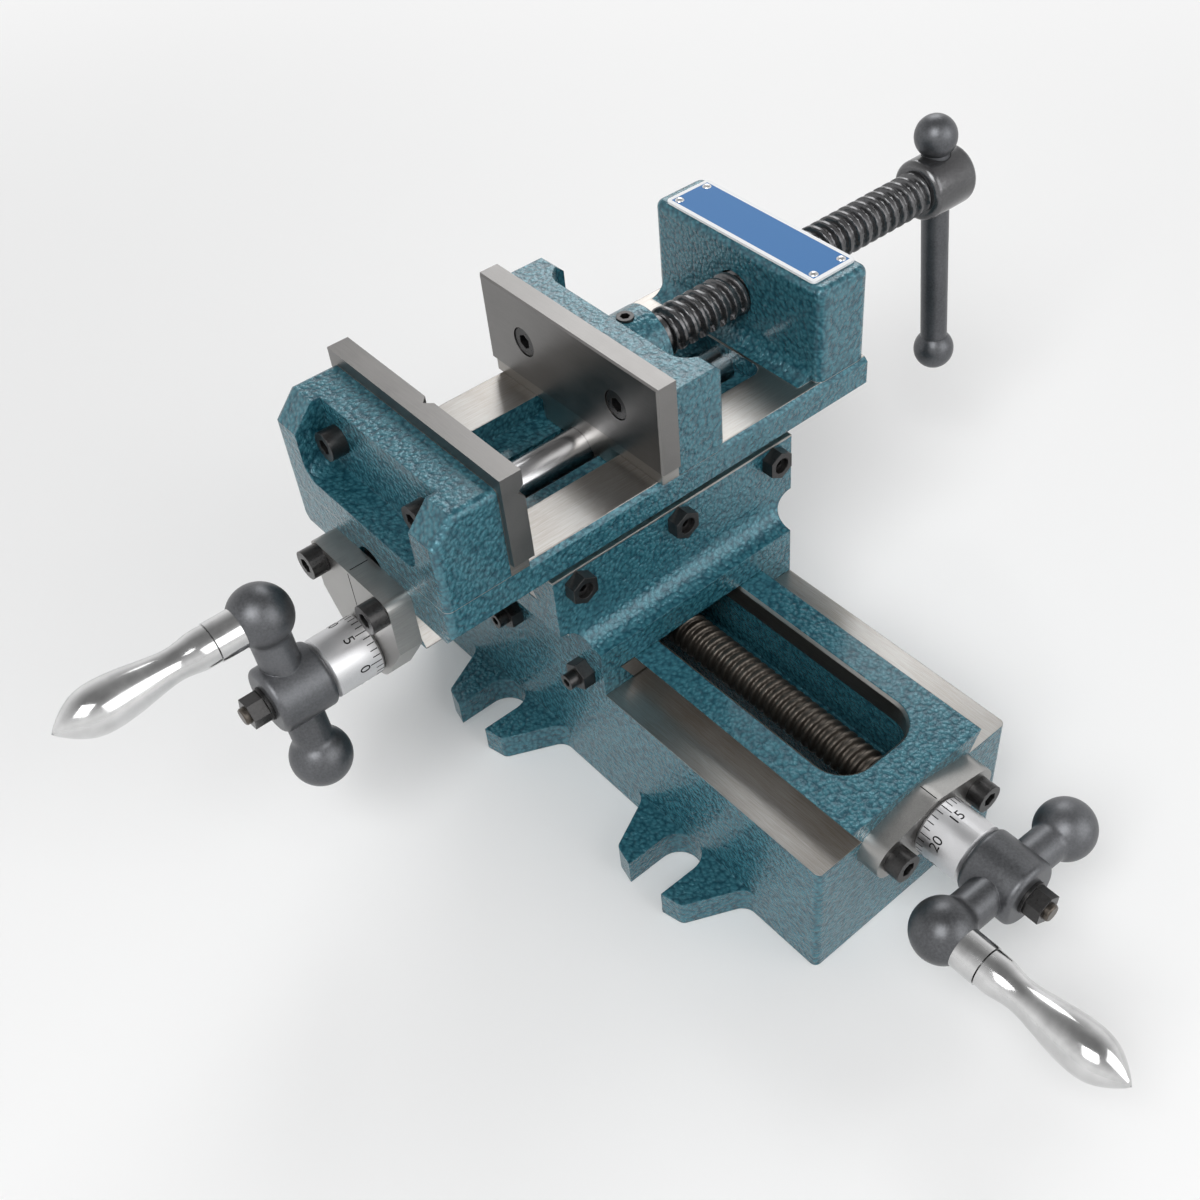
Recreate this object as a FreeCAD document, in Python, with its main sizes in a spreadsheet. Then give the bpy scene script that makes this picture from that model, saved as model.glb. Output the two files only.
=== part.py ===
import FreeCAD, Part
import math
import os
import Sketcher

# Cross slide vise, in millimetres, +Z up.
# A milling vise that rides on two dovetail slides at right angles. The base is bolted down by its four ears.
# The saddle slides along Y on the base, and the vise body slides along X on the saddle.
# The origin is the middle of the base's underside. Each piece is drawn about the middle or the end of the
# group that it moves with, and its Placement puts it where it lies at rest.

V = FreeCAD.Vector
doc = FreeCAD.newDocument("CrossSlideVise")

# Driving sizes: name, value, meaning
SIZES = (
    ("slide_gap", 0.05, "running gap of the flat slides"),
    ("bearing_gap", 0.05, "radial running gap of shafts and screws"),
    ("seat_gap", 0.05, "radial gap between a screw or pin and the piece that it is fixed in"),
    ("end_float", 0.1, "gap along an axis between a turning piece and its seat"),
    ("relief_gap", 0.4, "gap at the flat end of a dovetail, where it must not bear"),
    ("dovetail_angle", 60.0, "flank angle of both dovetails, degrees"),
    ("base_length", 184.0, "base along Y"),
    ("base_width", 74.2, "base and lower saddle along X"),
    ("base_height", 44.3, "underside to the machined rails"),
    ("lower_dovetail_width", 50.8, "top of the base's dovetail"),
    ("lower_dovetail_height", 7.4, "rails to the top of the base's dovetail"),
    ("base_slot_width", 31.0, "slot that the lower feed nut runs in"),
    ("base_slot_wall", 12.7, "end wall left at each end of the slot"),
    ("base_slot_corner", 10.0, "corner radius of the slot"),
    ("base_slot_chamfer", 1.0, "chamfer of the slot's upper edge"),
    ("base_ledge_height", 28.0, "height of the ledge inside the slot"),
    ("base_ledge_width", 3.5, "ledge inside the slot"),
    ("base_edge_radius", 2.0, "rounded upright corners of the base"),
    ("ear_spacing", 84.0, "between the two ears of one side"),
    ("ear_reach", 19.0, "base wall to the ear's tip"),
    ("ear_thickness", 9.2, "ear height"),
    ("ear_root_width", 45.0, "ear width at the base wall"),
    ("ear_tip_width", 28.0, "ear width at its outer corners"),
    ("ear_nose", 1.6, "outer corners to the tip"),
    ("ear_slot_width", 14.0, "bolt slot in an ear"),
    ("ear_slot_offset", 6.4, "base wall to the centre of the slot's round end"),
    ("ear_corner_radius", 2.5, "rounded corners of the ear's tip"),
    ("ear_wall_radius", 5.0, "fillet between ear and base wall"),
    ("ear_top_radius", 1.5, "rounded upper edge of the ear"),
    ("saddle_height", 44.95, "saddle's lower to upper sliding face"),
    ("saddle_block_length", 69.4, "upper part of the saddle along Y"),
    ("saddle_step", 7.5, "foot of the saddle beyond its block, along Y"),
    ("saddle_overhang", 7.5, "block of the saddle beyond its foot, along X"),
    ("saddle_foot_height", 16.7, "rails to the top of the saddle's foot"),
    ("upper_dovetail_neck", 26.0, "vise body's dovetail where it meets the deck"),
    ("upper_dovetail_height", 12.1, "deck underside to the dovetail's lower face"),
    ("lower_gib_thickness", 4.5, "lower gib across its flanks"),
    ("upper_gib_thickness", 5.0, "upper gib across its flanks"),
    ("lower_gib_screw_spacing", 34.0, "lower gib screws along Y"),
    ("upper_gib_screw_spacing", 36.8, "upper gib screws along X"),
    ("lower_gib_screw_rise", 4.6, "rails to the axis of the lower gib screws"),
    ("upper_gib_screw_drop", 5.0, "upper sliding face to the axis of the upper gib screws"),
    ("gib_screw_length", 17.0, "gib screw, tip to outer end"),
    ("gib_screw_tip", 3.0, "diameter of the gib screw's tip"),
    ("gib_dimple_depth", 1.6, "seat of the gib screw's tip in the gib"),
    ("set_screw_flats", 2.5, "socket of the set screws"),
    ("lock_nut_flats", 8.0, "lock nut across flats"),
    ("lock_nut_thickness", 4.0, "lock nut"),
    ("screw_diameter", 5.0, "socket head screws and set screws"),
    ("screw_head_diameter", 8.5, "socket head"),
    ("screw_head_height", 5.0, "socket head"),
    ("screw_socket_flats", 4.0, "hexagon socket"),
    ("screw_socket_depth", 2.6, "hexagon socket"),
    ("screw_hole_gap", 0.25, "radial gap of a screw in a clearance hole"),
    ("nut_screw_diameter", 4.0, "countersunk screws of the feed nuts"),
    ("nut_screw_head", 7.4, "countersunk head"),
    ("nut_screw_length", 9.2, "countersunk screw, head included"),
    ("lower_screw_drop", 4.3, "rails to the axis of the lower feed screw"),
    ("upper_screw_drop", 19.3, "upper sliding face to the axis of the upper feed screw"),
    ("feed_screw_diameter", 12.0, "feed screws over their threads"),
    ("feed_journal_diameter", 10.0, "journal in bracket and dial"),
    ("feed_seat_diameter", 8.0, "seat of the crank's hub"),
    ("far_journal_diameter", 8.0, "lower feed screw's far journal"),
    ("wall_hole_gap", 0.3, "radial gap where the lower feed screw passes the end wall"),
    ("upper_screw_length", 132.0, "threaded length of the upper feed screw"),
    ("upper_trough_width", 17.0, "trough of the upper feed screw in the saddle"),
    ("upper_trough_drop", 12.0, "screw axis to the trough's floor"),
    ("upper_nut_length", 20.0, "upper feed nut along X"),
    ("upper_nut_foot_length", 38.0, "foot of the upper feed nut along X"),
    ("nut_foot_thickness", 4.0, "foot of both feed nuts"),
    ("upper_nut_top_gap", 0.7, "upper feed nut to the dovetail above it"),
    ("upper_nut_screw_spacing", 29.4, "screws of the upper feed nut"),
    ("lower_nut_width", 24.0, "lower feed nut along X"),
    ("lower_nut_length", 18.0, "lower feed nut along Y"),
    ("lower_nut_foot_length", 36.0, "foot of the lower feed nut along Y"),
    ("lower_nut_wall", 3.0, "lower feed nut below its screw"),
    ("lower_nut_screw_spacing", 27.0, "screws of the lower feed nut"),
    ("bracket_thickness", 7.2, "both feed brackets"),
    ("lower_bracket_hub", 20.0, "diameter of the lower bracket's middle"),
    ("lower_bracket_lobe", 13.0, "diameter of the lower bracket's ends"),
    ("lower_bracket_spacing", 32.6, "screws of the lower bracket"),
    ("upper_bracket_width", 37.4, "upper bracket"),
    ("upper_bracket_rise", 7.7, "upper sliding face to the bracket's top edge"),
    ("upper_bracket_shoulder", 9.0, "screw axis to where the bracket's sides begin to taper"),
    ("upper_bracket_hub", 21.0, "diameter of the upper bracket's round end"),
    ("upper_bracket_corner", 3.0, "corner radius of the upper bracket"),
    ("upper_bracket_spacing", 28.4, "screws of the upper bracket"),
    ("upper_bracket_screw_rise", 3.3, "upper sliding face to the axis of the bracket's screws"),
    ("bracket_edge_chamfer", 0.6, "outer edge of the brackets"),
    ("bracket_screw_length", 16.0, "bracket screws below their heads"),
    ("dial_diameter", 18.0, "graduated dial"),
    ("dial_length", 15.0, "graduated dial"),
    ("dial_chamfer", 0.8, "edges of the dial"),
    ("crank_hub_diameter", 19.6, "crank hub"),
    ("crank_hub_length", 16.8, "crank hub"),
    ("crank_hub_radius", 1.8, "rounded edges of the crank hub"),
    ("crank_ball_offset", 9.0, "inner face of the crank hub to the plane of its arms"),
    ("crank_throw", 25.1, "screw axis to the middle of a ball"),
    ("crank_ball_diameter", 17.6, "balls of the crank"),
    ("crank_neck_diameter", 11.2, "arms of the crank"),
    ("crank_neck_radius", 3.0, "fillet between arm and ball"),
    ("crank_stud_diameter", 5.0, "threaded end that the crank's nut holds"),
    ("crank_stud_end", 1.5, "stud beyond its nut"),
    ("crank_nut_thickness", 4.8, "nut that holds the crank"),
    ("washer_diameter", 10.0, "washer under the crank's nut"),
    ("washer_thickness", 1.0, "washer under the crank's nut"),
    ("upper_crank_angle", 80.0, "upper grip ball, from +Y towards +Z, degrees"),
    ("lower_crank_angle", 6.0, "lower grip ball, from -X towards +Z, degrees"),
    ("ferrule_diameter", 11.4, "fixed collar of the grip"),
    ("ferrule_length", 14.0, "middle of the ball to the end of the collar"),
    ("ferrule_flats", 9.6, "spanner flats of the collar"),
    ("grip_pin_diameter", 6.0, "pin that the grip turns on"),
    ("grip_pin_reach", 44.0, "middle of the ball to the end of the pin"),
    ("grip_gap", 0.3, "collar to grip"),
    ("grip_collar_diameter", 10.8, "grip beside the collar"),
    ("grip_neck_diameter", 9.0, "narrowest place of the grip"),
    ("grip_neck_place", 25.5, "middle of the ball to the narrowest place"),
    ("grip_belly_diameter", 13.6, "widest place of the grip"),
    ("grip_belly_place", 43.0, "middle of the ball to the widest place"),
    ("grip_reach", 57.0, "middle of the ball to the grip's tip"),
    ("body_length", 152.0, "vise body along X"),
    ("body_width", 72.4, "vise body along Y"),
    ("deck_thickness", 12.7, "upper sliding face to the bed"),
    ("deck_bevel_width", 3.2, "bevel under the deck's edge"),
    ("deck_bevel_height", 3.7, "bevel under the deck's edge"),
    ("rail_chamfer", 1.4, "outer edge of the bed"),
    ("channel_width", 37.4, "channel between the bed's rails"),
    ("channel_depth", 6.5, "channel between the bed's rails"),
    ("channel_corner", 4.0, "corner radius of the channel"),
    ("trench_width", 17.0, "trench of the guide bar"),
    ("trench_depth", 18.0, "bed to the trench's floor"),
    ("guide_bar_diameter", 12.0, "guide bar"),
    ("guide_bar_drop", 8.0, "bed to the guide bar's axis"),
    ("guide_bar_inset", 1.0, "end face to the guide bar's end"),
    ("guide_bar_end", 12.0, "guide bar's other end to the far end face"),
    ("fixed_jaw_depth", 20.3, "rear face to the back of the fixed jaw plate"),
    ("jaw_height", 28.7, "bed to the top of both jaws"),
    ("jaw_ledge_depth", 5.7, "ledge under a jaw plate"),
    ("jaw_ledge_height", 4.2, "bed to the lower edge of the jaw plates"),
    ("fixed_jaw_bevel_depth", 6.7, "bevel of the fixed jaw's rear top edge"),
    ("fixed_jaw_bevel_height", 7.3, "bevel of the fixed jaw's rear top edge"),
    ("fixed_pocket_width", 52.0, "pocket in the fixed jaw's rear"),
    ("fixed_pocket_depth", 9.4, "pocket in the fixed jaw's rear"),
    ("fixed_pocket_rise", 7.5, "bed to the pocket's sill"),
    ("fixed_pocket_corner", 5.0, "corner radius of the pocket"),
    ("jaw_edge_radius", 2.0, "rounded edges of the jaws"),
    ("end_block_depth", 19.8, "end block along X"),
    ("end_block_height", 31.1, "bed to the end block's top"),
    ("end_block_width", 70.5, "end block along Y"),
    ("end_block_cove", 6.1, "cove at the end block's foot"),
    ("end_block_radius", 3.0, "rounded edges of the end block"),
    ("name_plate_length", 62.0, "plate along Y"),
    ("name_plate_width", 17.0, "plate along X"),
    ("name_plate_thickness", 0.8, "plate"),
    ("name_plate_corner", 1.5, "corner radius of the plate"),
    ("rivet_diameter", 1.6, "rivets of the plate"),
    ("rivet_head_diameter", 2.8, "rivets of the plate"),
    ("rivet_head_height", 0.7, "rivets of the plate"),
    ("rivet_length", 4.0, "rivets of the plate, below their heads"),
    ("rivet_inset", 3.0, "edge of the plate to a rivet"),
    ("jaw_plate_width", 76.2, "jaw plates along Y"),
    ("jaw_plate_height", 28.5, "jaw plates"),
    ("jaw_plate_thickness", 6.5, "jaw plates"),
    ("jaw_plate_chamfer", 0.5, "edges of the jaw plates"),
    ("jaw_plate_screw_rise", 18.3, "bed to the jaw plates' screws"),
    ("jaw_plate_screw_spacing", 40.2, "jaw plates' screws"),
    ("jaw_plate_groove_depth", 2.0, "grooves for round work in the fixed jaw plate"),
    ("jaw_plate_groove_drop", 6.5, "top of the plate to its level groove"),
    ("plate_screw_head_height", 4.0, "screws of the movable jaw plate"),
    ("plate_screw_recess", 4.3, "counterbores of the movable jaw plate"),
    ("plate_screw_length", 11.0, "screws of the movable jaw plate, below their heads"),
    ("rear_screw_length", 16.0, "screws of the fixed jaw plate, below their heads"),
    ("jaw_width", 74.0, "movable jaw along Y"),
    ("jaw_wall", 9.7, "movable jaw's front wall"),
    ("jaw_wing_reach", 17.5, "front of the movable jaw's casting to the ends of its wings"),
    ("jaw_wing_width", 6.0, "end wings of the movable jaw"),
    ("jaw_scoop_radius", 7.8, "scoops beside the wings"),
    ("jaw_wing_bevel", 3.1, "upper and lower rear edges of the wings"),
    ("jaw_boss_diameter", 22.6, "boss of the movable jaw"),
    ("jaw_boss_reach", 21.9, "front of the movable jaw's casting to the boss's end"),
    ("jaw_boss_fillet", 2.5, "fillet between boss and wall"),
    ("tongue_gap", 0.15, "tongue to the sides of channel and trench"),
    ("tongue_floor_gap", 0.2, "tongue to the channel's floor"),
    ("tongue_wall", 2.0, "tongue below the guide bar"),
    ("jaw_screw_rise", 14.8, "bed to the jaw screw's axis"),
    ("jaw_screw_diameter", 14.0, "jaw screw over its thread"),
    ("jaw_journal_diameter", 10.0, "jaw screw's end in the movable jaw"),
    ("jaw_neck_diameter", 11.6, "plain neck behind the boss"),
    ("jaw_neck_length", 5.0, "plain neck behind the boss"),
    ("jaw_groove_diameter", 7.0, "groove that the retaining screw holds"),
    ("jaw_groove_width", 5.2, "groove that the retaining screw holds"),
    ("jaw_groove_inset", 7.3, "boss's end to the middle of the groove"),
    ("jaw_journal_length", 16.2, "journal inside the boss"),
    ("jaw_hub_place", 141.4, "movable plate's face to the jaw screw's hub"),
    ("jaw_hub_diameter", 19.8, "hub of the jaw screw"),
    ("jaw_hub_length", 19.6, "hub of the jaw screw"),
    ("jaw_hub_radius", 2.5, "rounded edges of the hub"),
    ("bar_diameter", 9.2, "tommy bar"),
    ("bar_gap", 0.1, "radial gap of the tommy bar in the hub"),
    ("bar_ball_diameter", 14.0, "balls of the tommy bar"),
    ("bar_ball_drop", 62.0, "jaw screw's axis to the lower ball"),
    ("bar_ball_gap", 0.2, "upper ball to the edge of the hub's hole"),
    ("bar_pin_diameter", 6.0, "ends of the bar inside its balls"),
    ("bar_tilt", 5.4, "lean of the tommy bar, lower end towards -Y, degrees"),
    ("saddle_rest", 36.0, "middle of the base to the middle of the saddle, along Y"),
    ("body_rest", -1.4, "middle of the saddle to the middle of the vise body, along X"),
    ("jaw_opening", 43.2, "between the jaw plates"),
)

sheet = doc.addObject("Spreadsheet::Sheet", "Sizes")
for row, (alias, number, meaning) in enumerate(SIZES, start=1):
    sheet.set(f"A{row}", str(number))
    sheet.setAlias(f"A{row}", alias)
    sheet.set(f"B{row}", meaning)
doc.recompute()


class Size:
    """A number together with the sheet formula that gives it, so that a feature can be bound to it."""

    def __init__(self, value, formula):
        self.value = float(value)
        self.formula = formula

    def __add__(self, other):
        other = size(other)
        return Size(self.value + other.value, f"({self.formula} + {other.formula})")

    def __sub__(self, other):
        other = size(other)
        return Size(self.value - other.value, f"({self.formula} - {other.formula})")

    def __mul__(self, other):
        other = size(other)
        return Size(self.value * other.value, f"({self.formula} * {other.formula})")

    def __truediv__(self, other):
        other = size(other)
        return Size(self.value / other.value, f"({self.formula} / {other.formula})")

    def __neg__(self):
        return Size(-self.value, f"(0 - {self.formula})")

    __radd__ = __add__
    __rmul__ = __mul__

    def __rsub__(self, other):
        return size(other) - self


def size(amount):
    """The amount as a Size, also where it is a plain number."""
    if isinstance(amount, Size):
        return amount
    return Size(amount, f"({float(amount)})")


def root(amount):
    return Size(math.sqrt(amount.value), f"sqrt({amount.formula})")


def tangent(angle):
    return Size(math.tan(math.radians(angle.value)), f"tan({angle.formula})")


def sine(angle):
    return Size(math.sin(math.radians(angle.value)), f"sin({angle.formula})")


class Driving:
    """The driving sizes by name, each read back from its cell."""


d = Driving()
for alias, number, meaning in SIZES:
    setattr(d, alias, Size(getattr(sheet, alias), f"Sizes.{alias}"))

# Heights and places that several pieces share
HALF_ANGLE_RUN = tangent(d.dovetail_angle)
FLANK_SINE = sine(d.dovetail_angle)
SLIDE_SHIFT = d.slide_gap / FLANK_SINE

LOWER_TOP = d.base_height + d.lower_dovetail_height
LOWER_CEILING = LOWER_TOP + d.relief_gap
LOWER_FACE = d.base_height + d.slide_gap
UPPER_FACE = LOWER_FACE + d.saddle_height
DECK_UNDER = UPPER_FACE + d.slide_gap
UPPER_BOTTOM = DECK_UNDER - d.upper_dovetail_height
UPPER_FLOOR = UPPER_BOTTOM - d.relief_gap
BED = DECK_UNDER + d.deck_thickness

LOWER_AXIS = d.base_height - d.lower_screw_drop
UPPER_AXIS = UPPER_FACE - d.upper_screw_drop
JAW_AXIS = BED + d.jaw_screw_rise
GUIDE_AXIS = BED - d.guide_bar_drop
PLATE_AXIS = BED + d.jaw_plate_screw_rise
TROUGH_FLOOR = UPPER_AXIS - d.upper_trough_drop

FOOT_HALF = d.base_width / 2
BASE_END = d.base_length / 2
BLOCK_HALF = FOOT_HALF + d.saddle_overhang
BLOCK_HALF_LENGTH = d.saddle_block_length / 2
SADDLE_HALF_LENGTH = BLOCK_HALF_LENGTH + d.saddle_step

# The vise body's own zero along X is its rear end face, and the movable jaw's is the face of its plate
BODY_X = d.body_rest - d.body_length / 2
FIXED_FACE = d.fixed_jaw_depth + d.jaw_plate_thickness
JAW_X = BODY_X + FIXED_FACE + d.jaw_opening

ALONG_X = FreeCAD.Rotation()
ALONG_Y = FreeCAD.Rotation(V(0, 0, 1), 90)
UPWARD = FreeCAD.Rotation(V(0, 1, 0), -90)
DOWNWARD = FreeCAD.Rotation(V(0, 0, -1), V(1, 0, 0), V(0, -1, 0), "XYZ")

parts = []


def bind(item, path, amount):
    """Tie one property of an object to the sheet."""
    item.setExpression(path, size(amount).formula)


def keep(item, x, y, z, turn=ALONG_X):
    """Put a finished sub-part where it lies at rest and list it for export."""
    item.Placement = FreeCAD.Placement(V(size(x).value, size(y).value, size(z).value), turn)
    for axis, amount in (("x", x), ("y", y), ("z", z)):
        bind(item, f"Placement.Base.{axis}", amount)
    parts.append(item)
    return item


def new_body(label):
    body = doc.addObject("PartDesign::Body", label)
    body.Label = label
    return body


def origin_item(body, role):
    return next(item for item in body.Origin.OriginFeatures if item.Role == role)


def sketch(body, name, plane, offset=0):
    """An empty sketch on one of the body's own planes, moved to the coordinate offset along its normal."""
    drawing = body.newObject("Sketcher::SketchObject", name)
    drawing.AttachmentSupport = (origin_item(body, plane), [""])
    drawing.MapMode = "FlatFace"
    bind(drawing, "AttachmentOffset.Base.z", -size(offset) if plane == "XZ_Plane" else offset)
    return drawing


def pin_point(drawing, element, place, x, y):
    """Fix a point of the sketch at its coordinates."""
    for kind, amount in (("DistanceX", size(x)), ("DistanceY", size(y))):
        index = drawing.addConstraint(Sketcher.Constraint(kind, -1, 1, element, place, amount.value))
        drawing.setExpression(f"Constraints[{index}]", amount.formula)


def arc_between(start, end, radius):
    """The short arc from start to end. A positive radius turns left, a negative one turns right."""
    chord = end - start
    rise = math.sqrt(radius * radius - chord.Length * chord.Length / 4)
    left = V(-chord.y, chord.x, 0).normalize()
    centre = (start + end) * 0.5 + left * (rise if radius > 0 else -rise)
    first, last = (start, end) if radius > 0 else (end, start)
    angles = [math.atan2(p.y - centre.y, p.x - centre.x) for p in (first, last)]
    return Part.ArcOfCircle(Part.Circle(centre, V(0, 0, 1), abs(radius)), angles[0], angles[1])


def outline(drawing, corners):
    """Draw one closed outline. A corner is (x, y), or (x, y, radius) where the side that ends there is an arc."""
    points = [V(size(c[0]).value, size(c[1]).value, 0) for c in corners]
    ends = []
    for number, corner in enumerate(corners):
        start = points[number - 1]
        end = points[number]
        if len(corner) == 3:
            radius = size(corner[2])
            element = drawing.addGeometry(arc_between(start, end, radius.value), False)
            bound = radius if radius.value > 0 else -radius
            index = drawing.addConstraint(Sketcher.Constraint("Radius", element, bound.value))
            drawing.setExpression(f"Constraints[{index}]", bound.formula)
            ends.append((element, 1, 2) if radius.value > 0 else (element, 2, 1))
        else:
            element = drawing.addGeometry(Part.LineSegment(start, end), False)
            ends.append((element, 1, 2))
    for number, corner in enumerate(corners):
        element, first, last = ends[number]
        following = ends[(number + 1) % len(ends)]
        drawing.addConstraint(Sketcher.Constraint("Coincident", element, last, following[0], following[1]))
        pin_point(drawing, element, last, corner[0], corner[1])
    return drawing


def ring(drawing, x, y, radius):
    """Draw one circle."""
    centre = V(size(x).value, size(y).value, 0)
    element = drawing.addGeometry(Part.Circle(centre, V(0, 0, 1), size(radius).value), False)
    index = drawing.addConstraint(Sketcher.Constraint("Radius", element, size(radius).value))
    drawing.setExpression(f"Constraints[{index}]", size(radius).formula)
    pin_point(drawing, element, 3, x, y)
    return drawing


def rectangle(drawing, x_low, x_high, y_low, y_high):
    return outline(drawing, [(x_low, y_low), (x_high, y_low), (x_high, y_high), (x_low, y_high)])


def rounded_rectangle(drawing, x_low, x_high, y_low, y_high, radius):
    r = radius
    return outline(drawing, [
        (x_low + r, y_low, r), (x_high - r, y_low), (x_high, y_low + r, r), (x_high, y_high - r),
        (x_high - r, y_high, r), (x_low + r, y_high), (x_low, y_high - r, r), (x_low, y_low + r)])


def hexagon(drawing, x, y, flats):
    """Draw a regular hexagon with two of its flats upright."""
    reach = size(flats) / math.sqrt(3)
    corners = []
    for step in range(6):
        angle = math.radians(30 + 60 * step)
        corners.append((x + reach * math.cos(angle), y + reach * math.sin(angle)))
    return outline(drawing, corners)


def finish(body, feature):
    """Make the feature the body's last one and work it out."""
    body.Tip = feature
    doc.recompute()
    if "Invalid" in feature.State or "Error" in feature.State or not feature.Shape.isValid():
        raise RuntimeError(f"{body.Label}, {feature.Name} did not work out")
    return feature


def pad(body, drawing, length, both_ways=False, backwards=False):
    feature = body.newObject("PartDesign::Pad", drawing.Name + "Pad")
    feature.Profile = drawing
    bind(feature, "Length", length)
    if both_ways:
        feature.SideType = "Symmetric"
    feature.Reversed = backwards
    return finish(body, feature)


def revolve(body, drawing, axis="H_Axis"):
    feature = body.newObject("PartDesign::Revolution", drawing.Name + "Turn")
    feature.Profile = drawing
    feature.ReferenceAxis = (drawing, [axis])
    feature.Angle = 360
    return finish(body, feature)


def removed(body, feature, before):
    """Finish a feature that takes material away, and see that it did."""
    finish(body, feature)
    if body.Shape.Volume > before - 1e-6:
        raise ValueError(f"{feature.Name} removes nothing")
    return feature


def pocket(body, drawing, length, both_ways=False, forwards=False):
    """Cut the outline away, against its plane's normal, or along it where forwards is set."""
    before = body.Shape.Volume
    feature = body.newObject("PartDesign::Pocket", drawing.Name + "Cut")
    feature.Profile = drawing
    bind(feature, "Length", length)
    if both_ways:
        feature.SideType = "Symmetric"
    feature.Reversed = forwards
    return removed(body, feature, before)


def turn_away(body, drawing, axis="H_Axis"):
    before = body.Shape.Volume
    feature = body.newObject("PartDesign::Groove", drawing.Name + "Cut")
    feature.Profile = drawing
    feature.ReferenceAxis = (drawing, [axis])
    feature.Angle = 360
    return removed(body, feature, before)


def edges_within(body, low, high, along=None):
    """Names of the body's edges that lie wholly between two corners, and along one axis if it is given."""
    margin = 0.02
    names = []
    for number, edge in enumerate(body.Tip.Shape.Edges, start=1):
        box = edge.BoundBox
        inside = all((
            box.XMin > size(low[0]).value - margin, box.XMax < size(high[0]).value + margin,
            box.YMin > size(low[1]).value - margin, box.YMax < size(high[1]).value + margin,
            box.ZMin > size(low[2]).value - margin, box.ZMax < size(high[2]).value + margin))
        spans = {"x": box.XLength, "y": box.YLength, "z": box.ZLength}
        straight = along is None or spans[along] > 0.999 * edge.Length
        if inside and straight:
            names.append(f"Edge{number}")
    return names


def dress(body, kind, name, amount, names):
    """Round or bevel the named edges."""
    base = body.Tip
    feature = body.newObject(f"PartDesign::{kind}", name)
    feature.Base = (base, names)
    bind(feature, "Radius" if kind == "Fillet" else "Size", amount)
    return finish(body, feature)


def repeat(body, originals, axis, count, spacing):
    """Repeat features at equal steps along one of the body's axes."""
    feature = body.newObject("PartDesign::LinearPattern", body.Label + "Row")
    feature.Originals = originals
    feature.Direction = (origin_item(body, axis), [""])
    feature.Occurrences = count
    bind(feature, "Length", size(spacing) * (count - 1))
    return finish(body, feature)



def lower_flank(z, gap=0):
    """Half-width at height z of the base's dovetail, moved out by a gap across the flank."""
    return d.lower_dovetail_width / 2 - (LOWER_TOP - z) / HALF_ANGLE_RUN + size(gap) / FLANK_SINE


def upper_flank(z, gap=0):
    """Half-width at height z of the vise body's dovetail, moved out by a gap across the flank."""
    return d.upper_dovetail_neck / 2 + (DECK_UNDER - z) / HALF_ANGLE_RUN + size(gap) / FLANK_SINE


def mirrored(corners):
    """The corners followed by their mirror images across the sketch's upright axis."""
    return corners + [(-size(x), y) for x, y in reversed(corners)]


# Base casting with its dovetail, slot and four slotted ears
def base_casting():
    body = new_body("base_casting")
    profile = mirrored([(FOOT_HALF, 0), (FOOT_HALF, d.base_height), (lower_flank(d.base_height), d.base_height),
                        (lower_flank(LOWER_TOP), LOWER_TOP)])
    pad(body, outline(sketch(body, "BaseProfile", "XZ_Plane"), profile), d.base_length, both_ways=True)
    upright = edges_within(body, (-FOOT_HALF, -BASE_END, 0), (FOOT_HALF, BASE_END, d.base_height), "z")
    dress(body, "Fillet", "BaseCorners", d.base_edge_radius, upright)
    for side in (-1, 1):
        for end in (-1, 1):
            ear(body, side, end)
    half = d.base_slot_width / 2
    end = BASE_END - d.base_slot_wall
    upper = sketch(body, "SlotUpper", "XY_Plane", LOWER_TOP)
    rounded_rectangle(upper, -half, half, -end, end, d.base_slot_corner)
    pocket(body, upper, LOWER_TOP - d.base_ledge_height)
    rim = edges_within(body, (-half, -end, LOWER_TOP), (half, end, LOWER_TOP))
    dress(body, "Chamfer", "SlotRim", d.base_slot_chamfer, rim)
    step = d.base_ledge_width
    lower = sketch(body, "SlotLower", "XY_Plane", d.base_ledge_height)
    rounded_rectangle(lower, step - half, half - step, step - end, end - step, d.base_slot_corner - step)
    pocket(body, lower, d.base_ledge_height)
    near = ring(sketch(body, "NearBore", "XZ_Plane", -BASE_END), 0, LOWER_AXIS,
                d.feed_screw_diameter / 2 + d.wall_hole_gap)
    pocket(body, near, d.base_slot_wall * 1.5)
    far = ring(sketch(body, "FarBore", "XZ_Plane", BASE_END), 0, LOWER_AXIS,
               d.far_journal_diameter / 2 + d.bearing_gap)
    pocket(body, far, d.base_slot_wall * 1.5, forwards=True)
    taps = sketch(body, "BracketTaps", "XZ_Plane", -BASE_END)
    for side in (-1, 1):
        ring(taps, d.lower_bracket_spacing / 2 * side, LOWER_AXIS, d.screw_diameter / 2 + d.seat_gap)
    pocket(body, taps, d.bracket_screw_length - d.bracket_thickness + 1)
    keep(body, 0, 0, 0)


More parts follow.
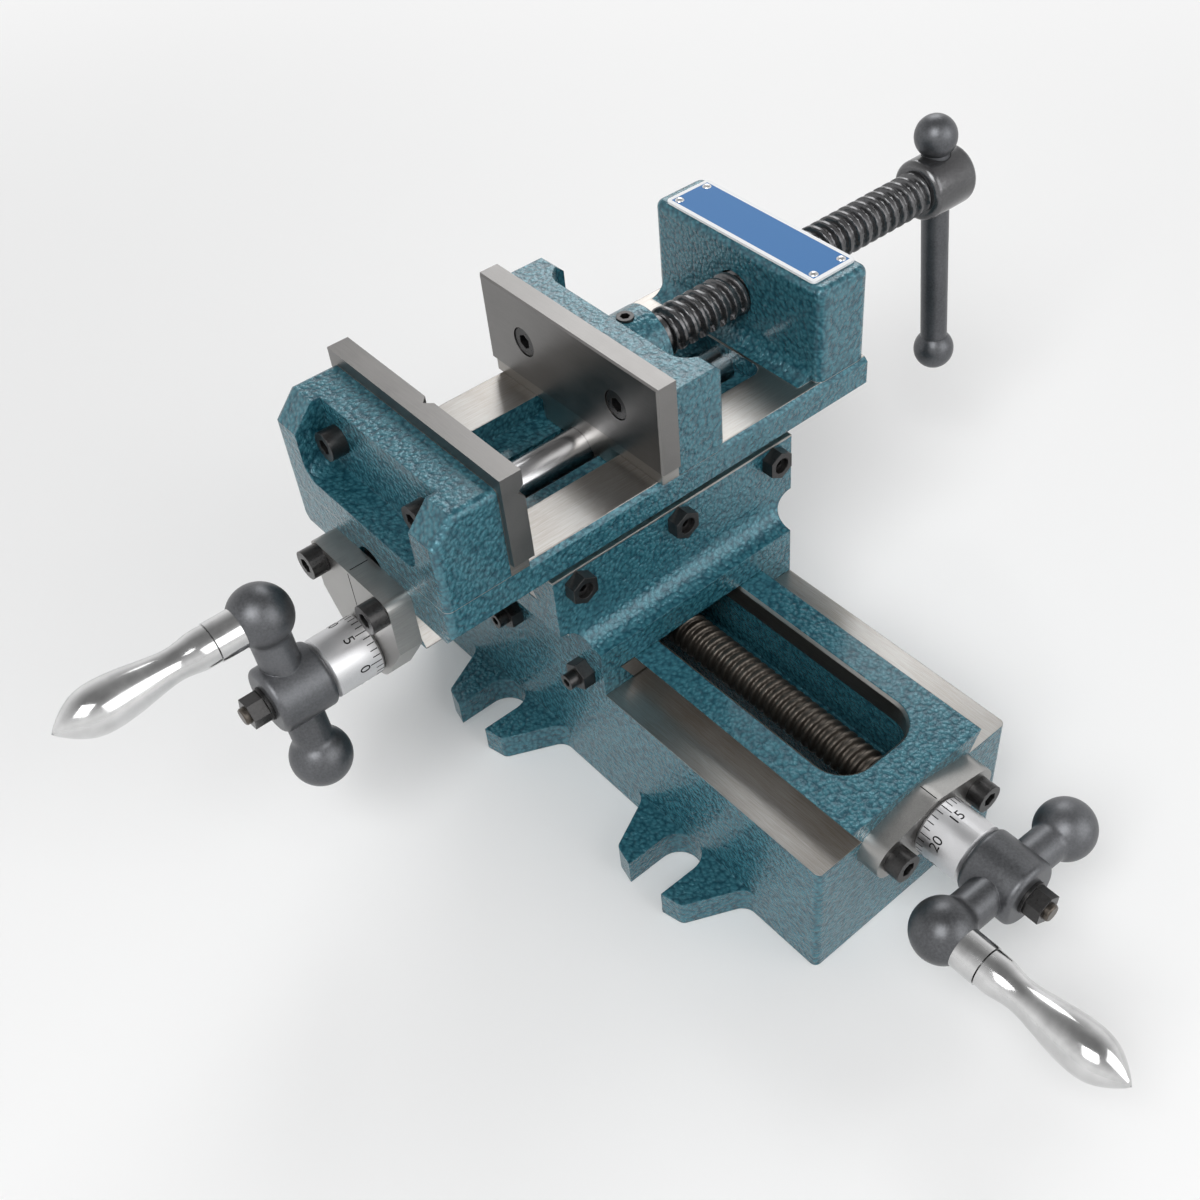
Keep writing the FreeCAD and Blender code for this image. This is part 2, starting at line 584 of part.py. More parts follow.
def ear(body, side, end):
    """One ear of the base with its open bolt slot."""
    middle = d.ear_spacing / 2 * end
    root_half = d.ear_root_width / 2
    tip_half = d.ear_tip_width / 2
    slot_half = d.ear_slot_width / 2
    tip = FOOT_HALF + d.ear_reach
    inner = FOOT_HALF - d.ear_wall_radius
    tag = f"{'Left' if side < 0 else 'Right'}{'Near' if end < 0 else 'Far'}"
    half = [(inner, root_half), (FOOT_HALF, root_half), (tip - d.ear_nose, tip_half), (tip, slot_half)]
    corners = half + [(x, -y) for x, y in reversed(half)]
    shape = sketch(body, f"Ear{tag}", "XY_Plane")
    outline(shape, [(x * side, middle + y) for x, y in corners])
    pad(body, shape, d.ear_thickness)
    centre = FOOT_HALF + d.ear_slot_offset
    arc = -slot_half * side
    mouth = tip + d.ear_nose
    slot = sketch(body, f"Slot{tag}", "XY_Plane", d.ear_thickness)
    outline(slot, [(mouth * side, middle - slot_half), (mouth * side, middle + slot_half),
                   (centre * side, middle + slot_half), ((centre - slot_half) * side, middle, -arc),
                   (centre * side, middle - slot_half, -arc)])
    pocket(body, slot, d.ear_thickness)
    low = (min((tip - d.ear_nose).value * side, tip.value * side), (middle - tip_half).value, 0)
    high = (max((tip - d.ear_nose).value * side, tip.value * side), (middle + tip_half).value,
            d.ear_thickness.value)
    dress(body, "Fillet", f"EarTip{tag}", d.ear_corner_radius,
          [name for name in edges_within(body, low, high, "z") if corner_edge(body, name, middle, tip_half)])
    wall = FOOT_HALF * side
    dress(body, "Fillet", f"EarRoot{tag}", d.ear_wall_radius,
          edges_within(body, (wall, middle - root_half, 0), (wall, middle + root_half, d.ear_thickness), "z")[:])


def corner_edge(body, name, middle, tip_half):
    """Whether an upright edge is one of the ear's two outer corners."""
    centre = body.Tip.Shape.getElement(name).CenterOfMass
    return abs(abs(centre.y - middle.value) - tip_half.value) < 0.01


# Saddle casting: foot over the base, block under the vise body, a groove at right angles in each
def saddle_casting():
    body = new_body("saddle_casting")
    step = d.saddle_overhang
    foot_top = d.base_height + d.saddle_foot_height
    gib = d.lower_gib_thickness + d.slide_gap
    groove = [(-lower_flank(LOWER_FACE, gib), LOWER_FACE), (-lower_flank(LOWER_CEILING, gib), LOWER_CEILING),
              (lower_flank(LOWER_CEILING, d.slide_gap), LOWER_CEILING),
              (lower_flank(LOWER_FACE, d.slide_gap), LOWER_FACE)]
    profile = groove + [(FOOT_HALF, LOWER_FACE), (FOOT_HALF, foot_top), (BLOCK_HALF, foot_top + step, -step),
                        (BLOCK_HALF, UPPER_FACE), (-BLOCK_HALF, UPPER_FACE), (-BLOCK_HALF, foot_top + step),
                        (-FOOT_HALF, foot_top, -step), (-FOOT_HALF, LOWER_FACE)]
    front = outline(sketch(body, "SaddleFront", "XZ_Plane"), profile)
    pad(body, front, SADDLE_HALF_LENGTH * 2, both_ways=True)
    sides = sketch(body, "SaddleSides", "YZ_Plane")
    rise = d.saddle_step
    out = SADDLE_HALF_LENGTH + rise
    above = UPPER_FACE + rise
    outline(sides, [(BLOCK_HALF_LENGTH, above), (BLOCK_HALF_LENGTH, foot_top + rise),
                    (SADDLE_HALF_LENGTH, foot_top, rise), (out, foot_top), (out, above)])
    outline(sides, [(-BLOCK_HALF_LENGTH, foot_top + rise), (-BLOCK_HALF_LENGTH, above), (-out, above),
                    (-out, foot_top), (-SADDLE_HALF_LENGTH, foot_top, rise)][1:]
            + [(-BLOCK_HALF_LENGTH, foot_top + rise, rise)])
    pocket(body, sides, BLOCK_HALF * 3, both_ways=True)
    gib = d.upper_gib_thickness + d.slide_gap
    slide = sketch(body, "UpperGroove", "YZ_Plane")
    trough = d.upper_trough_width / 2
    outline(slide, [(-upper_flank(UPPER_FLOOR, gib), UPPER_FLOOR), (-trough, UPPER_FLOOR), (-trough, TROUGH_FLOOR),
                    (trough, TROUGH_FLOOR), (trough, UPPER_FLOOR),
                    (upper_flank(UPPER_FLOOR, d.slide_gap), UPPER_FLOOR),
                    (upper_flank(above, d.slide_gap), above), (-upper_flank(above, gib), above)])
    pocket(body, slide, BLOCK_HALF * 3, both_ways=True)
    radius = d.screw_diameter / 2 + d.seat_gap
    holes = sketch(body, "LowerGibTaps", "YZ_Plane", -BLOCK_HALF)
    for place in (-1, 0, 1):
        ring(holes, d.lower_gib_screw_spacing * place, d.base_height + d.lower_gib_screw_rise, radius)
    pocket(body, holes, BLOCK_HALF - d.base_slot_width / 2, forwards=True)
    holes = sketch(body, "UpperGibTaps", "XZ_Plane", -BLOCK_HALF_LENGTH)
    for place in (-1, 0, 1):
        ring(holes, d.upper_gib_screw_spacing * place, UPPER_FACE - d.upper_gib_screw_drop, radius)
    pocket(body, holes, BLOCK_HALF_LENGTH - d.upper_dovetail_neck / 2)
    reach = d.nut_screw_length - d.nut_foot_thickness
    radius = d.nut_screw_diameter / 2 + d.seat_gap
    taps = sketch(body, "UpperNutTaps", "XY_Plane", TROUGH_FLOOR)
    for side in (-1, 1):
        ring(taps, d.upper_nut_screw_spacing / 2 * side, 0, radius)
    pocket(body, taps, reach)
    taps = sketch(body, "LowerNutTaps", "XY_Plane", LOWER_CEILING)
    for side in (-1, 1):
        ring(taps, 0, d.lower_nut_screw_spacing / 2 * side, radius)
    pocket(body, taps, reach, forwards=True)
    keep(body, 0, d.saddle_rest, 0)


def dimples(body, plane, face, spacing, height, forwards):
    """Seats for the tips of three gib screws."""
    seats = sketch(body, f"{body.Label}Dimples", plane, face)
    for place in (-1, 0, 1):
        ring(seats, spacing * place, height, d.gib_screw_tip / 2 + d.seat_gap)
    pocket(body, seats, d.upper_gib_thickness * 2, forwards=forwards)


LOWER_SCREW_HEIGHT = d.base_height + d.lower_gib_screw_rise
UPPER_SCREW_HEIGHT = UPPER_FACE - d.upper_gib_screw_drop
LOWER_TIP = -lower_flank(LOWER_SCREW_HEIGHT, d.lower_gib_thickness + d.slide_gap) + d.gib_dimple_depth
UPPER_TIP = -upper_flank(UPPER_SCREW_HEIGHT, d.upper_gib_thickness + d.slide_gap) + d.gib_dimple_depth


def gibs():
    """The two gibs: strips between the fixed and the adjusted flank of each dovetail."""
    body = new_body("lower_gib")
    low = LOWER_FACE + d.relief_gap
    gib = d.lower_gib_thickness + d.slide_gap
    corners = [(-lower_flank(low, gib), low), (-lower_flank(low, d.slide_gap), low),
               (-lower_flank(LOWER_TOP, d.slide_gap), LOWER_TOP), (-lower_flank(LOWER_TOP, gib), LOWER_TOP)]
    pad(body, outline(sketch(body, "LowerGib", "XZ_Plane"), corners), SADDLE_HALF_LENGTH * 2, both_ways=True)
    dimples(body, "YZ_Plane", LOWER_TIP, d.lower_gib_screw_spacing, LOWER_SCREW_HEIGHT, False)
    keep(body, 0, d.saddle_rest, 0)
    body = new_body("upper_gib")
    high = UPPER_FACE - d.relief_gap
    gib = d.upper_gib_thickness + d.slide_gap
    corners = [(-upper_flank(UPPER_BOTTOM, gib), UPPER_BOTTOM), (-upper_flank(UPPER_BOTTOM, d.slide_gap), UPPER_BOTTOM),
               (-upper_flank(high, d.slide_gap), high), (-upper_flank(high, gib), high)]
    pad(body, outline(sketch(body, "UpperGib", "YZ_Plane"), corners), BLOCK_HALF * 2, both_ways=True)
    dimples(body, "XZ_Plane", UPPER_TIP, d.upper_gib_screw_spacing, UPPER_SCREW_HEIGHT, True)
    keep(body, 0, d.saddle_rest, 0)


def screw_row(label, profile, flats, depth, count, spacing):
    """Screws in a row along the body's Y, each turned about X from its profile, with a hexagon socket."""
    body = new_body(label)
    first = size(spacing) * (1 - count) / 2
    shank = revolve(body, outline(sketch(body, "Profile", "XZ_Plane", first), profile))
    outer = min((corner[0] for corner in profile), key=lambda amount: size(amount).value)
    socket = hexagon(sketch(body, "Socket", "YZ_Plane", outer), first, 0, flats)
    cut = pocket(body, socket, depth, forwards=True)
    if count > 1:
        repeat(body, [shank, cut], "Y_Axis", count, spacing)
    return body


def socket_screws(label, length, head_height, count, spacing):
    """Socket head screws whose heads seat at x = 0."""
    head = d.screw_head_diameter / 2
    shank = d.screw_diameter / 2
    profile = [(-head_height, 0), (length, 0), (length, shank), (0, shank), (0, head), (-head_height, head)]
    return screw_row(label, profile, d.screw_socket_flats, d.screw_socket_depth, count, spacing)


def gib_screws(label, spacing):
    """Set screws whose tips end at x = 0."""
    radius = d.screw_diameter / 2
    tip = d.gib_screw_tip / 2
    profile = [(-d.gib_screw_length, 0), (0, 0), (0, tip), (-d.gib_dimple_depth * 2.5, tip),
               (-d.gib_dimple_depth * 2.5, radius), (-d.gib_screw_length, radius)]
    return screw_row(label, profile, d.set_screw_flats, d.screw_socket_depth, 3, spacing)


def hex_nuts(label, flats, thickness, bore, count, spacing):
    """Hexagon nuts in a row along Y, from x = 0 to negative x."""
    body = new_body(label)
    first = size(spacing) * (1 - count) / 2
    shape = hexagon(sketch(body, "Flats", "YZ_Plane"), first, 0, flats)
    ring(shape, first, 0, bore / 2 + d.seat_gap)
    solid = pad(body, shape, thickness, backwards=True)
    if count > 1:
        repeat(body, [solid], "Y_Axis", count, spacing)
    return body


def countersunk_screws(label, spacing):
    """Two countersunk screws, heads flush with x = 0."""
    head = d.nut_screw_head / 2
    shank = d.nut_screw_diameter / 2
    length = d.nut_screw_length - d.relief_gap
    profile = [(0, 0), (length, 0), (length, shank), (head - shank, shank), (0, head)]
    return screw_row(label, profile, d.set_screw_flats, shank, 2, spacing)


def saddle_fasteners():
    keep(gib_screws("lower_gib_screws", d.lower_gib_screw_spacing), LOWER_TIP, d.saddle_rest, LOWER_SCREW_HEIGHT)
    keep(hex_nuts("lower_gib_lock_nuts", d.lock_nut_flats, d.lock_nut_thickness, d.screw_diameter, 3,
                  d.lower_gib_screw_spacing), -FOOT_HALF, d.saddle_rest, LOWER_SCREW_HEIGHT)
    keep(gib_screws("upper_gib_screws", d.upper_gib_screw_spacing), 0, d.saddle_rest + UPPER_TIP,
         UPPER_SCREW_HEIGHT, ALONG_Y)
    keep(hex_nuts("upper_gib_lock_nuts", d.lock_nut_flats, d.lock_nut_thickness, d.screw_diameter, 3,
                  d.upper_gib_screw_spacing), 0, d.saddle_rest - BLOCK_HALF_LENGTH, UPPER_SCREW_HEIGHT, ALONG_Y)


# Feed nuts, each a bored block with a foot, held to the saddle by two countersunk screws
def feed_nuts():
    head = d.nut_screw_head / 2
    shank = d.nut_screw_diameter / 2 + d.seat_gap
    bore = d.feed_screw_diameter / 2 + d.bearing_gap
    body = new_body("upper_feed_nut")
    half = d.upper_trough_width / 2 - d.screw_hole_gap
    long_half = d.upper_nut_foot_length / 2
    foot_top = TROUGH_FLOOR + d.nut_foot_thickness
    top = UPPER_BOTTOM - d.upper_nut_top_gap
    foot = rectangle(sketch(body, "Foot", "XY_Plane", TROUGH_FLOOR), -long_half, long_half, -half, half)
    pad(body, foot, d.nut_foot_thickness)
    nut_half = d.upper_nut_length / 2
    block = rectangle(sketch(body, "Block", "XY_Plane", foot_top), -nut_half, nut_half, -half, half)
    pad(body, block, top - foot_top)
    pocket(body, ring(sketch(body, "Bore", "YZ_Plane"), 0, UPPER_AXIS, bore), long_half * 2, both_ways=True)
    for side in (-1, 1):
        place = d.upper_nut_screw_spacing / 2 * side
        seat = sketch(body, f"Seat{side + 1}", "YZ_Plane", place)
        outline(seat, [(0, TROUGH_FLOOR), (shank, TROUGH_FLOOR), (shank, foot_top - head + shank),
                       (head, foot_top), (head, foot_top + 1), (0, foot_top + 1)])
        turn_away(body, seat, "V_Axis")
    keep(body, 0, d.saddle_rest, 0)
    keep(countersunk_screws("upper_feed_nut_screws", d.upper_nut_screw_spacing), 0, d.saddle_rest,
         foot_top, DOWNWARD)
    body = new_body("lower_feed_nut")
    half = d.lower_nut_width / 2
    long_half = d.lower_nut_foot_length / 2
    nut_half = d.lower_nut_length / 2
    foot_low = LOWER_CEILING - d.nut_foot_thickness
    low = LOWER_AXIS - d.feed_screw_diameter / 2 - d.lower_nut_wall
    foot = sketch(body, "Foot", "XY_Plane", foot_low)
    rounded_rectangle(foot, -half, half, -long_half, long_half, d.channel_corner)
    pad(body, foot, d.nut_foot_thickness)
    block = rectangle(sketch(body, "Block", "XY_Plane", low), -half, half, -nut_half, nut_half)
    pad(body, block, foot_low - low)
    pocket(body, ring(sketch(body, "Bore", "XZ_Plane"), 0, LOWER_AXIS, bore), long_half * 2, both_ways=True)
    for side in (-1, 1):
        place = d.lower_nut_screw_spacing / 2 * side
        seat = sketch(body, f"Seat{side + 1}", "XZ_Plane", place)
        outline(seat, [(0, foot_low - 1), (head, foot_low - 1), (head, foot_low),
                       (shank, foot_low + head - shank), (shank, LOWER_CEILING), (0, LOWER_CEILING)])
        turn_away(body, seat, "V_Axis")
    keep(body, 0, d.saddle_rest, 0)
    keep(countersunk_screws("lower_feed_nut_screws", d.lower_nut_screw_spacing), 0, d.saddle_rest, foot_low, UPWARD)


# Vise body casting: deck and dovetail, fixed jaw at its rear end, end block at its far end
def vise_body_casting():
    body = new_body("vise_body_casting")
    half = d.body_width / 2
    rail = half - d.rail_chamfer
    neck = d.upper_dovetail_neck / 2
    deck = mirrored([(upper_flank(UPPER_BOTTOM), UPPER_BOTTOM), (neck, DECK_UNDER),
                     (half - d.deck_bevel_width, DECK_UNDER), (half, DECK_UNDER + d.deck_bevel_height),
                     (half, BED - d.rail_chamfer), (rail, BED)])
    pad(body, outline(sketch(body, "Deck", "YZ_Plane"), deck), d.body_length)
    deck_side = DECK_UNDER + d.deck_bevel_height
    jaw_top = BED + d.jaw_height
    ledge = d.fixed_jaw_depth + d.jaw_ledge_depth
    jaw = [(0, deck_side), (ledge, deck_side), (ledge, BED + d.jaw_ledge_height),
           (d.fixed_jaw_depth, BED + d.jaw_ledge_height), (d.fixed_jaw_depth, jaw_top),
           (d.fixed_jaw_bevel_depth, jaw_top), (0, jaw_top - d.fixed_jaw_bevel_height)]
    pad(body, outline(sketch(body, "FixedJaw", "XZ_Plane"), jaw), d.body_width, both_ways=True)
    block_top = BED + d.end_block_height
    face = d.body_length - d.end_block_depth
    cove = d.end_block_cove
    half_width = d.end_block_width / 2
    r = d.end_block_radius
    foot = BED - d.rail_chamfer * 2
    plan = sketch(body, "EndBlock", "XY_Plane", foot)
    rounded_rectangle(plan, face, d.body_length, -half_width, half_width, r)
    pad(body, plan, block_top - foot)
    rim = edges_within(body, (face, -half_width, block_top), (d.body_length, half_width, block_top))
    dress(body, "Fillet", "BlockRim", r * 0.8, rim)
    curve = [(face - cove, foot), (face + r, foot), (face + r, BED + cove), (face, BED + cove),
             (face - cove, BED, -cove)]
    pad(body, outline(sketch(body, "Cove", "XZ_Plane"), curve), d.end_block_width - r * 2, both_ways=True)
    chain = []
    for side in (-1, 1):
        plane = half * side
        chain += edges_within(body, (0, plane, deck_side), (d.fixed_jaw_depth, plane, jaw_top))
    chain = [name for name in chain if body.Tip.Shape.getElement(name).CenterOfMass.x
             < d.fixed_jaw_depth.value - 1 and body.Tip.Shape.getElement(name).CenterOfMass.z
             > BED.value + 1]
    dress(body, "Fillet", "JawSides", d.jaw_edge_radius, chain)
    pocket_half = d.fixed_pocket_width / 2
    sill = BED + d.fixed_pocket_rise
    r = d.fixed_pocket_corner
    rear = sketch(body, "RearPocket", "YZ_Plane")
    outline(rear, [(pocket_half, jaw_top + r), (-pocket_half, jaw_top + r), (-pocket_half, sill + r),
                   (r - pocket_half, sill, r), (pocket_half - r, sill), (pocket_half, sill + r, r)])
    pocket(body, rear, d.fixed_pocket_depth, forwards=True)
    channel_end = face - cove
    half = d.channel_width / 2
    channel = rounded_rectangle(sketch(body, "Channel", "XY_Plane", BED), ledge, channel_end, -half, half,
                                d.channel_corner)
    pocket(body, channel, d.channel_depth)
    half = d.trench_width / 2
    trench = rounded_rectangle(sketch(body, "Trench", "XY_Plane", BED), ledge, channel_end, -half, half,
                               d.channel_corner)
    pocket(body, trench, d.trench_depth)
    guide = ring(sketch(body, "GuideBore", "YZ_Plane"), 0, GUIDE_AXIS, d.guide_bar_diameter / 2 + d.seat_gap)
    pocket(body, guide, d.body_length - d.guide_bar_end + d.end_float, forwards=True)
    bore = ring(sketch(body, "JawScrewBore", "YZ_Plane", d.body_length), 0, JAW_AXIS,
                d.jaw_screw_diameter / 2 + d.bearing_gap)
    pocket(body, bore, d.end_block_depth + cove)
    holes = sketch(body, "PlateHoles", "YZ_Plane")
    taps = sketch(body, "BracketTaps", "YZ_Plane")
    for side in (-1, 1):
        ring(holes, d.jaw_plate_screw_spacing / 2 * side, PLATE_AXIS, d.screw_diameter / 2 + d.screw_hole_gap)
        ring(taps, d.upper_bracket_spacing / 2 * side, DECK_UNDER + d.upper_bracket_screw_rise,
             d.screw_diameter / 2 + d.seat_gap)
    pocket(body, holes, d.fixed_jaw_depth, forwards=True)
    pocket(body, taps, d.bracket_screw_length - d.bracket_thickness + 1, forwards=True)
    rivets = sketch(body, "RivetHoles", "XY_Plane", block_top)
    for x_side, y_side in ((-1, -1), (-1, 1), (1, -1), (1, 1)):
        ring(rivets, d.body_length - d.end_block_depth / 2 + rivet_place(d.name_plate_width) * x_side,
             rivet_place(d.name_plate_length) * y_side, d.rivet_diameter / 2 + d.seat_gap)
    pocket(body, rivets, d.rivet_length)
    keep(body, BODY_X, d.saddle_rest, 0)


def rivet_place(extent):
    """Middle of the plate to the rivets beside the ends of one of its extents."""
    return extent / 2 - d.rivet_inset


# Bare plate on the end block, with a rivet at each corner
def name_plate():
    middle = BODY_X + d.body_length - d.end_block_depth / 2
    half_x = d.name_plate_width / 2
    half_y = d.name_plate_length / 2
    body = new_body("name_plate")
    shape = rounded_rectangle(sketch(body, "Plate", "XY_Plane"), -half_x, half_x, -half_y, half_y, d.name_plate_corner)
    for x_side, y_side in ((-1, -1), (-1, 1), (1, -1), (1, 1)):
        ring(shape, rivet_place(d.name_plate_width) * x_side, rivet_place(d.name_plate_length) * y_side,
             d.rivet_diameter / 2 + d.seat_gap)
    pad(body, shape, d.name_plate_thickness)
    keep(body, middle, d.saddle_rest, BED + d.end_block_height)
    body = new_body("name_plate_rivets")
    half = d.rivet_head_diameter / 2
    shank = d.rivet_diameter / 2
    place = rivet_place(d.name_plate_width)
    low = d.name_plate_thickness - d.rivet_length + d.seat_gap
    top = d.name_plate_thickness + d.rivet_head_height
    first = sketch(body, "Rivet", "XZ_Plane", -rivet_place(d.name_plate_length))
    dome = (half * half + d.rivet_head_height * d.rivet_head_height) / (d.rivet_head_height * 2)
    outline(first, [(0, low), (shank, low), (shank, d.name_plate_thickness), (half, d.name_plate_thickness),
                    (0, top, dome)])
    turned = revolve(body, first, "V_Axis")
    rows = repeat(body, [turned], "X_Axis", 2, place * 2)
    rows.Direction2 = (origin_item(body, "Y_Axis"), [""])
    rows.Occurrences2 = 2
    bind(rows, "Length2", rivet_place(d.name_plate_length) * 2)
    finish(body, rows)
    keep(body, middle - place, d.saddle_rest, BED + d.end_block_height)


# Guide bar in the bed, and the set screw under the end block that holds it
def guide_bar():
    bar = doc.addObject("Part::Cylinder", "guide_bar_round")
    bind(bar, "Radius", d.guide_bar_diameter / 2)
    bind(bar, "Height", d.body_length - d.guide_bar_end - d.guide_bar_inset)
    ends = doc.addObject("Part::Chamfer", "guide_bar")
    ends.Base = bar
    ends.Label = "guide_bar"
    doc.recompute()
    rims = [number for number, edge in enumerate(bar.Shape.Edges, start=1) if edge.Closed and edge.BoundBox.ZLength
            < 1]
    ends.Edges = [(number, d.dial_chamfer.value, d.dial_chamfer.value) for number in rims]
    keep(ends, BODY_X + d.guide_bar_inset, d.saddle_rest, GUIDE_AXIS, FreeCAD.Rotation(V(0, 1, 0), 90))


# Jaw plates: ground blocks; the fixed one has an upright and a level groove for round work
def jaw_plates():
    half = d.jaw_plate_width / 2
    low = BED + d.jaw_ledge_height
    top = low + d.jaw_plate_height
    thick = d.jaw_plate_thickness
    groove = d.jaw_plate_groove_depth
    body = new_body("fixed_jaw_plate")
    shape = rectangle(sketch(body, "Plate", "YZ_Plane"), -half, half, low, top)
    pad(body, shape, thick)
    upright = sketch(body, "UprightGroove", "XY_Plane", top)
    outline(upright, [(thick, -groove), (thick, groove), (thick - groove, 0)])
    pocket(body, upright, d.jaw_plate_height)
    level = sketch(body, "LevelGroove", "XZ_Plane")
    middle = top - d.jaw_plate_groove_drop
    outline(level, [(thick, middle - groove), (thick, middle + groove), (thick - groove, middle)])
    pocket(body, level, d.jaw_plate_width, both_ways=True)
    taps = sketch(body, "PlateTaps", "YZ_Plane")
    for side in (-1, 1):
        ring(taps, d.jaw_plate_screw_spacing / 2 * side, PLATE_AXIS, d.screw_diameter / 2 + d.seat_gap)
    pocket(body, taps, thick - d.jaw_plate_chamfer * 2, forwards=True)
    keep(body, BODY_X + d.fixed_jaw_depth, d.saddle_rest, 0)
    keep(socket_screws("fixed_jaw_plate_screws", d.rear_screw_length, d.screw_head_height, 2,
                       d.jaw_plate_screw_spacing), BODY_X + d.fixed_pocket_depth, d.saddle_rest, PLATE_AXIS)
    body = new_body("movable_jaw_plate")
    pad(body, rectangle(sketch(body, "Plate", "YZ_Plane"), -half, half, low, top), thick)
    rims = edges_within(body, (0, -half, low), (0, half, top))
    dress(body, "Chamfer", "PlateRim", d.jaw_plate_chamfer, rims)
    for name, radius, depth in (("Recess", d.screw_head_diameter / 2 + d.screw_hole_gap, d.plate_screw_recess),
                                ("Holes", d.screw_diameter / 2 + d.screw_hole_gap, thick)):
        holes = sketch(body, name, "YZ_Plane")
        for side in (-1, 1):
            ring(holes, d.jaw_plate_screw_spacing / 2 * side, PLATE_AXIS, radius)
        pocket(body, holes, depth, forwards=True)
    keep(body, JAW_X, d.saddle_rest, 0)
    keep(socket_screws("movable_jaw_plate_screws", d.plate_screw_length, d.plate_screw_head_height, 2,
                       d.jaw_plate_screw_spacing), JAW_X + d.plate_screw_recess, d.saddle_rest, PLATE_AXIS)


# Movable jaw casting: wall with end wings and scoops, boss of the jaw screw, tongue on the guide bar
def movable_jaw_casting():
    body = new_body("movable_jaw_casting")
    front = d.jaw_plate_thickness
    wall = front + d.jaw_wall
    rear = front + d.jaw_wing_reach
    half = d.jaw_width / 2
    wing = half - d.jaw_wing_width
    scoop = d.jaw_scoop_radius
    low = BED + d.slide_gap
    top = BED + d.jaw_height
    plan = [(front, -half), (rear, -half), (rear, -wing), (wall, scoop - wing, -scoop), (wall, wing - scoop),
            (rear, wing, -scoop), (rear, half), (front, half)]
    pad(body, outline(sketch(body, "JawPlan", "XY_Plane", low), plan), top - low)
    bevel = d.jaw_wing_bevel
    trim = sketch(body, "WingBevels", "XZ_Plane")
    outline(trim, [(rear + bevel, top - bevel), (rear + bevel, top + bevel), (rear - bevel, top + bevel),
                   (rear - bevel, top), (rear, top - bevel)])
    outline(trim, [(rear + bevel, low - bevel), (rear + bevel, low + bevel), (rear, low + bevel),
                   (rear - bevel, low), (rear - bevel, low - bevel)])
    pocket(body, trim, d.jaw_width * 2, both_ways=True)
    boss_end = front + d.jaw_boss_reach
    boss = ring(sketch(body, "Boss", "YZ_Plane", wall - d.jaw_wall / 2), 0, JAW_AXIS, d.jaw_boss_diameter / 2)
    pad(body, boss, boss_end - wall + d.jaw_wall / 2)
    radius = d.jaw_boss_diameter / 2
    joint = edges_within(body, (wall, -radius, JAW_AXIS - radius), (wall, radius, JAW_AXIS + radius))
    dress(body, "Fillet", "BossRoot", d.jaw_boss_fillet, joint)
    upright = edges_within(body, (rear, -half, low), (rear, half, top), "z")
    outer = [name for name in upright if abs(body.Tip.Shape.getElement(name).CenterOfMass.y) > wing.value + 1]
    dress(body, "Fillet", "WingEdges", d.jaw_edge_radius, outer)
    ledge = rectangle(sketch(body, "Ledge", "YZ_Plane", front), -half, half, low, BED + d.jaw_ledge_height)
    pad(body, ledge, d.jaw_ledge_depth, backwards=True)
    toe = front - d.jaw_ledge_depth
    tongue_half = d.channel_width / 2 - d.tongue_gap
    tongue_low = BED - d.channel_depth + d.tongue_floor_gap
    tongue = sketch(body, "Tongue", "YZ_Plane", toe)
    deep_half = d.trench_width / 2 - d.tongue_gap
    deep_low = GUIDE_AXIS - d.guide_bar_diameter / 2 - d.tongue_wall
    outline(tongue, mirrored([(deep_half, deep_low), (deep_half, tongue_low), (tongue_half, tongue_low),
                              (tongue_half, low)]))
    pad(body, tongue, rear - bevel - toe)
    corners = edges_within(body, (toe, -tongue_half, tongue_low), (toe, tongue_half, low), "z")
    outer = [name for name in corners if abs(body.Tip.Shape.getElement(name).CenterOfMass.y) > deep_half.value + 1]
    dress(body, "Fillet", "ToeEdges", d.channel_corner, outer)
    deep = edges_within(body, (toe, -deep_half, deep_low), (toe, deep_half, tongue_low), "z")
    dress(body, "Fillet", "KeelEdges", d.channel_corner, deep)
    bore = ring(sketch(body, "GuideBore", "YZ_Plane", toe), 0, GUIDE_AXIS,
                d.guide_bar_diameter / 2 + d.bearing_gap)
    pocket(body, bore, d.body_length, forwards=True)
    screw = ring(sketch(body, "ScrewBore", "YZ_Plane", boss_end), 0, JAW_AXIS,
                 d.jaw_journal_diameter / 2 + d.bearing_gap)
    pocket(body, screw, d.jaw_journal_length + d.end_float)
    keeper = ring(sketch(body, "KeeperTap", "XY_Plane", JAW_AXIS + radius * 2), boss_end - d.jaw_groove_inset, 0,
                  d.screw_diameter / 2 + d.seat_gap)
    pocket(body, keeper, radius * 2)
    taps = sketch(body, "PlateTaps", "YZ_Plane", front)
    for side in (-1, 1):
        ring(taps, d.jaw_plate_screw_spacing / 2 * side, PLATE_AXIS, d.screw_diameter / 2 + d.seat_gap)
    pocket(body, taps, d.plate_screw_length + d.plate_screw_recess - front + d.relief_gap, forwards=True)
    keep(body, JAW_X, d.saddle_rest, 0)
    tip = d.jaw_groove_diameter / 2 + d.end_float
    length = radius + d.jaw_plate_chamfer - tip
    keeper = screw_row("jaw_retaining_screw", [(-length, 0), (0, 0), (0, d.screw_diameter / 2),
                                               (-length, d.screw_diameter / 2)],
                       d.set_screw_flats, d.screw_socket_depth, 1, 0)
    keep(keeper, JAW_X + boss_end - d.jaw_groove_inset, d.saddle_rest, JAW_AXIS + tip, DOWNWARD)


